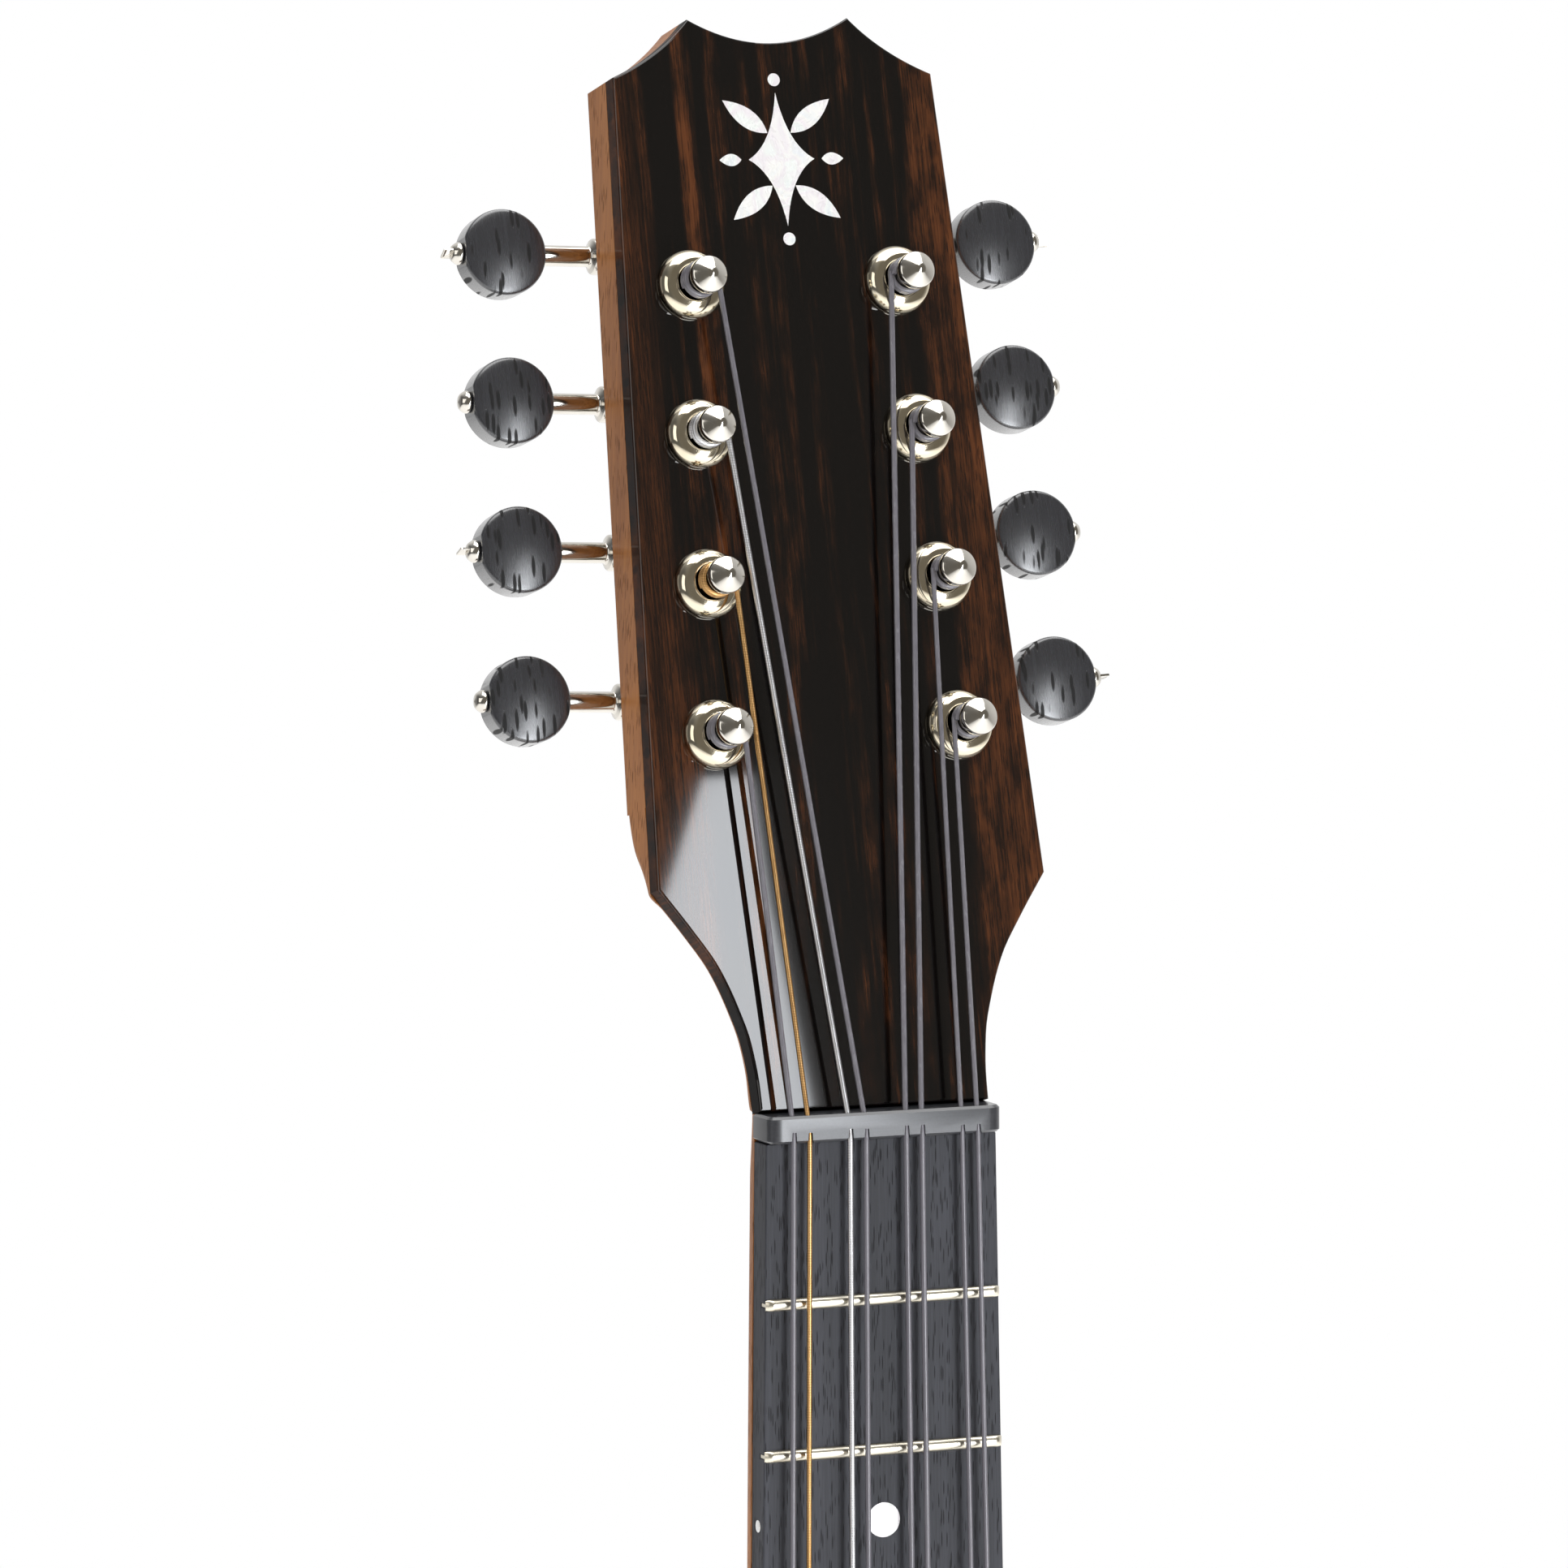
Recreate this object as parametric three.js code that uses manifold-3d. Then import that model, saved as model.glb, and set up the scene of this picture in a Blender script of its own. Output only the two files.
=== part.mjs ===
// An eight-string tenor ukulele: four courses of two strings, a slim figure-eight body, and a
// tilted head with two sets of open worm-and-gear tuners.
//
// Millimetres. X runs across the instrument, Z runs up the neck to the head, and Y runs from the
// strings to the back. The origin is where a wall hanger holds it: in the middle of the neck,
// between the two flares under the head.
//
// The pieces are first placed from the nut: z = 0 is the fingerboard's upper end, and y = 0 is the
// plane of the fingerboard's playing face.

import * as THREE from 'three';
import { mergeVertices } from 'three/addons/utils/BufferGeometryUtils.js';
import Module from 'manifold-3d';

const wasm = await Module();
wasm.setup();

// ---------------------------------------------------------------- driving sizes

const GLUE = 0.1; // a glued face keeps this much to its neighbour
const GAP = 0.3; // a fitted or tilted face keeps this much

const HANGER = { y: 9, z: 22 }; // what a wall hanger holds, from the nut

const SCALE_LENGTH = 431.8; // nut to saddle, 17 inches
const FRETS = 19;
const BODY_FRET = 14; // the neck meets the body here
const fretZ = (number) => -SCALE_LENGTH * (1 - 2 ** (-number / 12));

const BOARD = { thick: 4.7, nutHalf: 18.75, flare: 0.0137, tail: 5.5 };
const boardHalf = (z) => BOARD.nutHalf - BOARD.flare * z;
const FRET_SLOT = { wide: 0.6, deep: 1.6 };

const HEAD = { tilt: THREE.MathUtils.degToRad(13.8), drop: 1.24, plate: 3.3, core: 8.2, start: 5.6 };

const BODY = {
  top: fretZ(BODY_FRET),
  length: 305,
  board: 2,
  side: 2,
  back: 2.2,
  depthHeel: 60,
  depthTail: 75,
  points: 29,
};
const SOUNDHOLE = { z: BODY.top - 92, r: 31 };
const LINING = { thick: 5, tall: 8 };
const TENON = { half: 8, near: 16, far: 50, long: 13 };
const ROD = { half: 2.8, deep: 8, low: BODY.top + 8, high: -8 };

const BRIDGE = { front: -426, long: 24, half: 47, centreHalf: 31, saddle: 6.3 };
const STRING_NUT_Y = -1.7;
const STRING_SADDLE_Y = -6.3;
const COURSE_NUT = [-13.7, -4.55, 4.55, 13.7];
const COURSE_SADDLE = [-19.2, -6.4, 6.4, 19.2];
const PAIR_HALF = 1.3;
const STRING_R = [0.42, 0.4, 0.44, 0.42, 0.44, 0.44, 0.38, 0.38];

const TUNER = {
  spacing: 23,
  lowX: 19.87,
  lowD: 62.1,
  splay: THREE.MathUtils.degToRad(2.4),
  teeth: 16,
  offset: 7.8, // gear axis to worm axis, towards the head's tip
  axis: 16.8, // worm axis behind the head's face
  shaftR: 1.6,
  buttonAt: 24.05, // button centre out from the post
};
const WORM_PITCH_R = 2.1;
const GEAR_PITCH_R = TUNER.offset - WORM_PITCH_R;
const WORM_PITCH = (2 * Math.PI * GEAR_PITCH_R) / TUNER.teeth;
const PLATE = {
  thick: 1.1,
  inner: 8,
  outer: 9,
  below: 8.5,
  above: 14,
  earAt: 4.8,
  earThick: 1.2,
  earHalf: 3,
};
const COLLAR = { r: 2.8, to: 9.3 };
const SCREW = { shankR: 0.9, headR: 1.75, headTall: 1.75 };
const BUTTON = { r: 6.7, half: 2.9, round: 0.7, seat: 6.35 };
const POST = { boreR: 2.75, shankR: 2.45, waistR: 2.0, capR: 2.85 };
const BUSHING = { flangeR: 5.3, dome: 2.3, sleeveR: 4.0, sleeveLong: 7.5 };

// ---------------------------------------------------------------- materials

const material = (color, roughness, metalness = 0) =>
  new THREE.MeshStandardMaterial({ color, roughness, metalness });

const MAHOGANY = material(0x8a5a36, 0.45);
const EBONY = material(0x1c1613, 0.18);
const BOARD_WOOD = material(0x2b2b2e, 0.6);
const BLACK = material(0x2a2b2f, 0.45);
const BUTTON_WOOD = material(0x26282b, 0.35);
const SPRUCE = material(0xc9a877, 0.6);
const NICKEL = material(0xcfc8bb, 0.2, 1);
const STEEL = material(0x8c8c90, 0.4, 1);
const BONE = material(0xe6dfcc, 0.5);
const CLEAR = material(0xb9bcc4, 0.3);
const GOLD = material(0xc08a3c, 0.35, 1);
const SILVER = material(0xd5d5d8, 0.35, 1);

// ---------------------------------------------------------------- solids

// The volume's sign tells which way a mesh's faces point.
function signedVolume(geometry) {
  const position = geometry.attributes.position;
  const index = geometry.index;
  const [a, b, c] = [new THREE.Vector3(), new THREE.Vector3(), new THREE.Vector3()];
  let sum = 0;
  for (let i = 0; i < index.count; i += 3) {
    a.fromBufferAttribute(position, index.getX(i));
    b.fromBufferAttribute(position, index.getX(i + 1));
    c.fromBufferAttribute(position, index.getX(i + 2));
    sum += a.dot(b.cross(c));
  }
  return sum;
}

// One indexed mesh with shared corners and its faces pointing out.
function closed(geometry) {
  const bare = geometry.clone();
  bare.deleteAttribute('normal');
  bare.deleteAttribute('uv');
  const merged = mergeVertices(bare, 1e-4);
  if (signedVolume(merged) < 0) {
    const index = merged.index;
    for (let i = 0; i < index.count; i += 3) {
      const second = index.getX(i + 1);
      index.setX(i + 1, index.getX(i + 2));
      index.setX(i + 2, second);
    }
  }
  merged.computeVertexNormals();
  return merged;
}

function solid(geometry) {
  const mesh = closed(geometry);
  const vertProperties = new Float32Array(mesh.attributes.position.array);
  const triVerts = new Uint32Array(mesh.index.array);
  return new wasm.Manifold(new wasm.Mesh({ numProp: 3, vertProperties, triVerts }));
}

function geometryOf(manifold) {
  const mesh = manifold.getMesh();
  const geometry = new THREE.BufferGeometry();
  geometry.setAttribute('position', new THREE.BufferAttribute(mesh.vertProperties, 3));
  geometry.setIndex(new THREE.BufferAttribute(mesh.triVerts, 1));
  geometry.computeVertexNormals();
  return geometry;
}

const join = (...parts) => geometryOf(parts.map(solid).reduce((all, part) => all.add(part)));
const cut = (body, ...tools) =>
  geometryOf(tools.map(solid).reduce((all, tool) => all.subtract(tool), solid(body)));
const common = (first, second) => geometryOf(solid(first).intersect(solid(second)));

function box(x0, x1, y0, y1, z0, z1) {
  const geometry = new THREE.BoxGeometry(x1 - x0, y1 - y0, z1 - z0);
  return geometry.translate((x0 + x1) / 2, (y0 + y1) / 2, (z0 + z1) / 2);
}

// A closed skin over rings of points, every ring with the same number of points.
function loft(rings) {
  const count = rings[0].length;
  const positions = rings.flat().flatMap((point) => [point.x, point.y, point.z]);
  const index = [];
  for (let ring = 0; ring < rings.length - 1; ring += 1) {
    for (let i = 0; i < count; i += 1) {
      const a = ring * count + i;
      const b = ring * count + ((i + 1) % count);
      index.push(a, b, b + count, a, b + count, a + count);
    }
  }
  const last = (rings.length - 1) * count;
  for (let i = 1; i < count - 1; i += 1) {
    index.push(0, i + 1, i);
    index.push(last, last + i, last + i + 1);
  }
  const geometry = new THREE.BufferGeometry();
  geometry.setAttribute('position', new THREE.Float32BufferAttribute(positions, 3));
  geometry.setIndex(index);
  return closed(geometry);
}

// A slab with an outline in X and Z, from the surface y = near(z) to y = far(z).
function slab(outline, holes, near, far) {
  const clockwise = THREE.ShapeUtils.isClockWise(outline);
  const shape = new THREE.Shape(clockwise ? [...outline].reverse() : outline);
  holes.forEach((hole) => shape.holes.push(new THREE.Path(hole)));
  const geometry = new THREE.ExtrudeGeometry(shape, { depth: 1, bevelEnabled: false });
  const position = geometry.attributes.position;
  for (let i = 0; i < position.count; i += 1) {
    const z = position.getY(i);
    const y = THREE.MathUtils.lerp(near(z), far(z), position.getZ(i));
    position.setXYZ(i, position.getX(i), y, z);
  }
  return closed(geometry);
}

const flat = (value) => () => value;

// A turned piece about Y. The profile's points are [radius, height out of the head's face].
function turned(profile, sides) {
  const points = profile.map(([radius, height]) => new THREE.Vector2(radius, -height));
  return closed(new THREE.LatheGeometry(points, sides));
}

// A turned piece about X. The profile's points are [radius, place along X].
function turnedAlongX(profile, sides) {
  const points = profile.map(([radius, along]) => new THREE.Vector2(radius, along));
  return closed(new THREE.LatheGeometry(points, sides).rotateZ(-Math.PI / 2));
}

function tube(points, radius, sides) {
  const rings = [];
  const across = new THREE.Vector3(1, 0, 0);
  points.forEach((point, i) => {
    const before = points[Math.max(i - 1, 0)];
    const after = points[Math.min(i + 1, points.length - 1)];
    const along = after.clone().sub(before).normalize();
    const up = along.clone().cross(across).normalize();
    const side = up.clone().cross(along).normalize();
    const ring = [];
    for (let k = 0; k < sides; k += 1) {
      const angle = (2 * Math.PI * k) / sides;
      const spoke = side.clone().multiplyScalar(radius * Math.cos(angle));
      ring.push(point.clone().add(spoke).addScaledVector(up, radius * Math.sin(angle)));
    }
    rings.push(ring);
  });
  return loft(rings);
}

// ---------------------------------------------------------------- scene graph

// The root stands at the hanger, so everything under it is placed from the nut.
const instrument = new THREE.Group();
const fromNut = new THREE.Group();
fromNut.position.set(0, -HANGER.y, -HANGER.z);
instrument.add(fromNut);

// On the head, y runs into the wood from its face and z runs to its tip.
const head = new THREE.Group();
head.position.set(0, HEAD.drop, 0);
head.rotation.x = -HEAD.tilt;
fromNut.add(head);
head.updateMatrix();

function piece(name, geometry, look, parent = fromNut) {
  const mesh = new THREE.Mesh(geometry, look);
  mesh.name = name;
  parent.add(mesh);
  return mesh;
}

// A point on the head: x across, out of its face, and up from the nut.
const onHead = (x, out, up) => new THREE.Vector3(x, -out, up).applyMatrix4(head.matrix);

// Both rows of posts: side is -1 on the left and +1 on the right, and row 0 is the lowest.
const ROWS = [0, 1, 2, 3];
const SIDES = [
  { word: 'left', side: -1 },
  { word: 'right', side: 1 },
];
const postX = (side, row) => side * (TUNER.lowX - row * TUNER.spacing * Math.sin(TUNER.splay));
const postUp = (row) => TUNER.lowD + row * TUNER.spacing * Math.cos(TUNER.splay);

// ---------------------------------------------------------------- neck

// Half width of the head at a height up from the nut, through the flare to the lower corner.
const FLARE = [
  [0, 18.6],
  [8, 18.7],
  [15, 19.4],
  [20.5, 20.9],
  [26.8, 23.4],
  [32.5, 27],
  [39, 31.6],
];
const HEAD_LOW = { x: 31.6, up: 39 };
const HEAD_TOP = { x: 26.2, up: 163.4 };
const PEAK = { x: 13.2, up: 172.3 };
const CROWN = 168.5; // the middle scallop's lowest point

function headHalf(up) {
  if (up >= HEAD_LOW.up) {
    const t = (up - HEAD_LOW.up) / (HEAD_TOP.up - HEAD_LOW.up);
    return THREE.MathUtils.lerp(HEAD_LOW.x, HEAD_TOP.x, t);
  }
  const next = FLARE.findIndex(([height]) => height >= up);
  if (next <= 0) return FLARE[0][1];
  const [lowUp, lowX] = FLARE[next - 1];
  const [highUp, highX] = FLARE[next];
  return THREE.MathUtils.lerp(lowX, highX, (up - lowUp) / (highUp - lowUp));
}

// The head's outline above a given height: straight sides, two peaks and three scallops.
function headOutline(from) {
  const shape = new THREE.Shape();
  const low = FLARE.filter(([up]) => up > from && up < HEAD_LOW.up);
  shape.moveTo(-headHalf(from), from);
  shape.lineTo(headHalf(from), from);
  low.forEach(([up, x]) => shape.lineTo(x, up));
  if (from < HEAD_LOW.up) shape.lineTo(HEAD_LOW.x, HEAD_LOW.up);
  shape.lineTo(HEAD_TOP.x, HEAD_TOP.up);
  shape.quadraticCurveTo(18.2, 166.8, PEAK.x, PEAK.up);
  shape.quadraticCurveTo(0, 2 * CROWN - PEAK.up, -PEAK.x, PEAK.up);
  shape.quadraticCurveTo(-18.2, 166.8, -HEAD_TOP.x, HEAD_TOP.up);
  if (from < HEAD_LOW.up) shape.lineTo(-HEAD_LOW.x, HEAD_LOW.up);
  low.reverse().forEach(([up, x]) => shape.lineTo(-x, up));
  shape.closePath();
  return shape;
}

// A slice of the head between two depths behind its face, in the head's own frame.
function headSlice(from, nearDepth, farDepth) {
  const points = headOutline(from).extractPoints(5).shape;
  return slab(points, [], flat(nearDepth), flat(farDepth));
}

// A section of the neck: flat on top, round or square underneath. The section starts at the top
// line (y, z) and its depth runs back along a line tilted by lean.
function neckSection(half, y, z, depth, power, lean) {
  const steps = 12;
  const ring = [];
  for (let i = 0; i <= steps; i += 1) {
    const angle = (Math.PI * i) / steps;
    const c = Math.cos(angle);
    const x = half * Math.sign(c) * Math.abs(c) ** (2 / power);
    const down = depth * Math.abs(Math.sin(angle)) ** (2 / power);
    ring.push(new THREE.Vector3(x, y + down * Math.cos(lean), z - down * Math.sin(lean)));
  }
  ring[0].x = half;
  ring[steps].x = -half;
  return ring;
}

function neckGeometry() {
  const top = BOARD.thick + GLUE;
  const heel = BODY.top + 0.4;
  // Down the neck: [z, depth under the board, squareness].
  const shaft = [
    [heel, 59.5, 2.2],
    [heel + 2.5, 52, 2.2],
    [heel + 6, 40, 2.2],
    [heel + 11, 29.5, 2.1],
    [heel + 18, 22.5, 1.95],
    [heel + 30, 18.6, 1.8],
    [-120, 17, 1.75],
    [-6, 15.6, 1.75],
  ];
  const rings = shaft.map(([z, depth, power]) => neckSection(boardHalf(z), top, z, depth, power, 0));
  rings.push(neckSection(18.7, top, 0, 15.7, 1.75, HEAD.tilt * 0.35));
  rings.push(neckSection(18.6, top, 4.4, 15.8, 1.75, HEAD.tilt * 0.55));
  rings.push(neckSection(18.6, top + 1.2, 4.65, 14.6, 1.75, HEAD.tilt * 0.6));
  // Up the flare, on the head's plane: [up, depth, squareness, lean share].
  const flare = [
    [11, 13.6, 1.75, 0.85],
    [16, 12.2, 1.75, 1],
    [20.5, 11.2, 1.75, 1],
    [26.8, 9.9, 1.8, 1],
    [32.5, 9, 1.85, 1],
    [36.5, 8.5, 2, 1],
    [39, 8.3, 2.3, 1],
    [43, HEAD.core, 4, 1],
    [48, HEAD.core, 12, 1],
    [54, HEAD.core, 26, 1],
  ];
  flare.forEach(([up, depth, power, share]) => {
    const line = onHead(0, -HEAD.plate - GLUE, up);
    rings.push(neckSection(headHalf(up), line.y, line.z, depth, power, HEAD.tilt * share));
  });
  const core = headSlice(52, HEAD.plate + GLUE, HEAD.plate + GLUE + HEAD.core).applyMatrix4(head.matrix);
  const tenon = box(-TENON.half, TENON.half, TENON.near, TENON.far, BODY.top - TENON.long, BODY.top + 2);
  const holes = [];
  SIDES.forEach(({ side }) => {
    ROWS.forEach((row) => {
      const bore = turned(
        [
          [0, 1],
          [BUSHING.sleeveR + GAP, 1],
          [BUSHING.sleeveR + GAP, -BUSHING.sleeveLong - GAP],
          [POST.shankR + GAP, -BUSHING.sleeveLong - GAP],
          [POST.shankR + GAP, -14],
          [0, -14],
        ],
        10,
      );
      bore.translate(postX(side, row), 0, postUp(row));
      holes.push(bore.applyMatrix4(head.matrix));
    });
  });
  const rodWidth = ROD.half + GAP;
  const channel = box(-rodWidth, rodWidth, 0, top + ROD.deep + GAP, ROD.low - GAP, ROD.high + GAP);
  return cut(join(loft(rings), core, tenon), channel, ...holes);
}

piece('neck', neckGeometry(), MAHOGANY);

// The truss rod lies in its channel, just under the top of the neck.
const rodBar = box(
  -ROD.half, ROD.half, BOARD.thick + GLUE + 1, BOARD.thick + GLUE + ROD.deep, ROD.low, ROD.high,
);
piece('truss_rod', rodBar, STEEL);

// ---------------------------------------------------------------- headplate

function headplateGeometry() {
  const holes = [];
  SIDES.forEach(({ side }) => {
    ROWS.forEach((row) => {
      const hole = turned(
        [
          [0, 2],
          [BUSHING.sleeveR + GAP, 2],
          [BUSHING.sleeveR + GAP, -HEAD.plate - 2],
          [0, -HEAD.plate - 2],
        ],
        10,
      );
      holes.push(hole.translate(postX(side, row), 0, postUp(row)));
    });
  });
  return cut(headSlice(HEAD.start, 0, HEAD.plate), ...holes);
}

piece('headplate', headplateGeometry(), EBONY, head);

// ---------------------------------------------------------------- fingerboard

function boardGeometry() {
  const end = fretZ(FRETS) - BOARD.tail;
  const corners = [
    [boardHalf(0), 0],
    [-boardHalf(0), 0],
    [-boardHalf(end), end],
    [boardHalf(end), end],
  ];
  const outline = corners.map(([x, z]) => new THREE.Vector2(x, z));
  const slots = [];
  for (let number = 1; number <= FRETS; number += 1) {
    const z = fretZ(number);
    slots.push(box(-40, 40, -1, FRET_SLOT.deep, z - FRET_SLOT.wide / 2, z + FRET_SLOT.wide / 2));
  }
  return cut(slab(outline, [], flat(0), flat(BOARD.thick)), ...slots);
}

piece('fingerboard', boardGeometry(), BOARD_WOOD);

// ---------------------------------------------------------------- strings

// Each string runs from the tie block over the saddle and the nut to the inner side of its post.
// The outer string of each side goes to the lowest post.
const STRING_ROUTE = [
  { side: -1, row: 0 },
  { side: -1, row: 1 },
  { side: -1, row: 2 },
  { side: -1, row: 3 },
  { side: 1, row: 3 },
  { side: 1, row: 2 },
  { side: 1, row: 1 },
  { side: 1, row: 0 },
];
const STRING_LOOK = [CLEAR, GOLD, SILVER, CLEAR, CLEAR, CLEAR, CLEAR, CLEAR];
const WIND_OUT = 4.6; // where a string meets its post, out of the head's face
const SADDLE_Z = BRIDGE.front - BRIDGE.saddle;
const TIE = { front: BRIDGE.front - 14.5, y: 0, r: 0.75 };

function stringPoints(number) {
  const course = Math.floor(number / 2);
  const shift = number % 2 === 0 ? -PAIR_HALF : PAIR_HALF;
  const nutX = COURSE_NUT[course] + shift;
  const saddleX = COURSE_SADDLE[course] + shift;
  const { side, row } = STRING_ROUTE[number];
  const beside = postX(side, row) - side * (POST.waistR + STRING_R[number] + GAP);
  return [
    new THREE.Vector3(saddleX, TIE.y, BRIDGE.front - BRIDGE.long - 0.4),
    new THREE.Vector3(saddleX, TIE.y, TIE.front - 0.4),
    new THREE.Vector3(saddleX, STRING_SADDLE_Y + 0.5, SADDLE_Z - 1),
    new THREE.Vector3(saddleX, STRING_SADDLE_Y, SADDLE_Z + 0.4),
    new THREE.Vector3(nutX, STRING_NUT_Y, 0.9),
    new THREE.Vector3(nutX, STRING_NUT_Y + 0.25, 2.6),
    onHead(beside, WIND_OUT, postUp(row) + 0.5),
  ];
}

STRING_ROUTE.forEach((route, number) => {
  const geometry = tube(stringPoints(number), STRING_R[number], 6);
  piece(`string_${number + 1}`, geometry, STRING_LOOK[number]);
});

// ---------------------------------------------------------------- nut

function nutGeometry() {
  const half = 18.9;
  const top = -2.1;
  const outline = new THREE.Shape();
  outline.moveTo(-half, BOARD.thick);
  outline.lineTo(half, BOARD.thick);
  outline.lineTo(half, top + 1.6);
  outline.quadraticCurveTo(half, top, half - 2.2, top);
  outline.lineTo(-half + 2.2, top);
  outline.quadraticCurveTo(-half, top, -half, top + 1.6);
  outline.closePath();
  const bar = new THREE.ExtrudeGeometry(outline, { depth: 3.3, bevelEnabled: true, bevelThickness: 0.4,
    bevelSize: 0.4, bevelOffset: -0.4, bevelSegments: 1, curveSegments: 4 });
  bar.translate(0, 0, 0.6);
  const slots = STRING_ROUTE.map((route, number) => {
    const [first, , , last] = stringPoints(number).slice(3);
    const middle = stringPoints(number).slice(4, 6);
    return tube([first, ...middle, last], STRING_R[number] + 0.2, 6);
  });
  return cut(bar, ...slots);
}

piece('nut', nutGeometry(), BLACK);

// ---------------------------------------------------------------- body

// Right half of the figure eight, from the neck joint down the side to the tail: [x, z].
const HALF_BODY = [
  [0, 0],
  [26, -0.5],
  [54, -7],
  [74, -24],
  [83, -52],
  [79, -82],
  [69, -106],
  [65, -125],
  [71, -147],
  [87, -169],
  [104, -193],
  [113.5, -219],
  [113, -245],
  [102, -272],
  [77, -293],
  [42, -303],
  [0, -305],
];

// The whole outline, moved in by a distance.
function bodyOutline(inset) {
  const points = HALF_BODY.map(([x, z]) => new THREE.Vector3(x, BODY.top + z, 0));
  const curve = new THREE.CatmullRomCurve3(points, false, 'centripetal');
  const right = curve.getSpacedPoints(BODY.points).map((point) => new THREE.Vector2(point.x, point.y));
  right[0].x = 0;
  right[BODY.points].x = 0;
  const left = right.slice(1, -1).reverse().map((point) => new THREE.Vector2(-point.x, point.y));
  const loop = [...right, ...left];
  return loop.map((point, i) => {
    const before = loop[(i + loop.length - 1) % loop.length];
    const after = loop[(i + 1) % loop.length];
    const along = after.clone().sub(before).normalize();
    return new THREE.Vector2(point.x + along.y * inset, point.y - along.x * inset);
  });
}

const FRONT = BOARD.thick + GLUE; // the soundboard's face
const UNDER = FRONT + BODY.board; // its inner face
const backInside = (z) => {
  const t = (BODY.top - z) / BODY.length;
  return FRONT + THREE.MathUtils.lerp(BODY.depthHeel, BODY.depthTail, t) - BODY.back;
};
const backLess = (less) => (z) => backInside(z) - less;
const OUTLINE = bodyOutline(0);

function circle(x, z, radius, sides) {
  const points = [];
  for (let i = 0; i < sides; i += 1) {
    const angle = (2 * Math.PI * i) / sides;
    points.push(new THREE.Vector2(x + radius * Math.cos(angle), z + radius * Math.sin(angle)));
  }
  return points;
}

const soundhole = circle(0, SOUNDHOLE.z, SOUNDHOLE.r, 32);
piece('soundboard', slab(OUTLINE, [soundhole], flat(FRONT), flat(UNDER)), SPRUCE);
piece('back', slab(OUTLINE, [], backInside, backLess(-BODY.back)), MAHOGANY);

// The bent sides, with a window at the top for the neck's tenon.
function sidesGeometry() {
  const ring = slab(OUTLINE, [bodyOutline(BODY.side)], flat(UNDER + GLUE), backLess(GLUE));
  const window = box(
    -TENON.half - GAP, TENON.half + GAP, TENON.near - GAP, TENON.far + GAP, BODY.top - 10, BODY.top + 5,
  );
  return cut(ring, window);
}

piece('sides', sidesGeometry(), MAHOGANY);

// Linings run round the inside, one along the soundboard and one along the back.
const liningFrom = BODY.side + GLUE;
const liningTo = liningFrom + LINING.thick;
const liningRing = (near, far, grow = 0) =>
  slab(bodyOutline(liningFrom - grow), [bodyOutline(liningTo + grow)], near, far);

piece('top_lining', liningRing(flat(UNDER + GLUE), flat(UNDER + LINING.tall)), SPRUCE);
piece('back_lining', liningRing(backLess(LINING.tall), backLess(GLUE)), SPRUCE);

// The end blocks fill the body's depth against the sides, and are rebated over the linings.
function endBlock(halfWidth, zFrom, zTo, extra) {
  const inside = slab(bodyOutline(BODY.side + GAP), [], flat(UNDER + GLUE), backLess(GLUE));
  const reach = box(-halfWidth, halfWidth, 0, 100, zFrom, zTo);
  const rebates = [
    liningRing(flat(UNDER - 1), flat(UNDER + LINING.tall + GAP), GAP),
    liningRing(backLess(LINING.tall + GAP), backLess(-1), GAP),
  ];
  return cut(common(inside, reach), ...rebates, ...extra);
}

const mortise = box(
  -TENON.half - GAP, TENON.half + GAP, TENON.near - GAP, TENON.far + GAP,
  BODY.top - TENON.long - GAP, BODY.top,
);
const tail = BODY.top - BODY.length;
piece('neck_block', endBlock(30, BODY.top - 26, BODY.top, [mortise]), MAHOGANY);
piece('tail_block', endBlock(28, tail, tail + 20, []), MAHOGANY);

// ---------------------------------------------------------------- braces and bridge plate

const clearOfLining = (near, far) => slab(bodyOutline(liningTo + GAP), [], near, far);

// A straight bar on the soundboard between two points [x, z].
function bar([x0, z0], [x1, z1], wide, tall) {
  const long = Math.hypot(x1 - x0, z1 - z0);
  const geometry = new THREE.BoxGeometry(wide, tall, long);
  geometry.rotateY(Math.atan2(x1 - x0, z1 - z0));
  return geometry.translate((x0 + x1) / 2, UNDER + GLUE + tall / 2, (z0 + z1) / 2);
}

const BAR_ABOVE = SOUNDHOLE.z + SOUNDHOLE.r + 7;
const BAR_BELOW = SOUNDHOLE.z - SOUNDHOLE.r - 9;
const PLATE_PAD = { half: 49, high: BRIDGE.front + 3, low: BRIDGE.front - BRIDGE.long - 3, thick: 2 };

function bracingGeometry() {
  const lattice = join(
    bar([-100, BAR_ABOVE], [100, BAR_ABOVE], 7, 10),
    bar([-110, BAR_BELOW], [110, BAR_BELOW], 7, 10),
    bar([-36, BAR_ABOVE], [-36, BAR_BELOW], 6, 5),
    bar([36, BAR_ABOVE], [36, BAR_BELOW], 6, 5),
    bar([0, BAR_BELOW], [0, tail + 34], 6, 7),
    bar([-18, BAR_BELOW], [-46, tail + 44], 6, 7),
    bar([18, BAR_BELOW], [46, tail + 44], 6, 7),
  );
  const room = clearOfLining(flat(UNDER + GLUE / 2), flat(UNDER + 12));
  const notch = box(
    -PLATE_PAD.half - GAP, PLATE_PAD.half + GAP, 0, UNDER + PLATE_PAD.thick + 2 * GAP,
    PLATE_PAD.low - GAP, PLATE_PAD.high + GAP,
  );
  return cut(common(lattice, room), notch);
}

piece('top_bracing', bracingGeometry(), SPRUCE);
piece(
  'bridge_plate',
  box(
    -PLATE_PAD.half, PLATE_PAD.half, UNDER + GLUE, UNDER + GLUE + PLATE_PAD.thick,
    PLATE_PAD.low, PLATE_PAD.high,
  ),
  SPRUCE,
);

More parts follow.
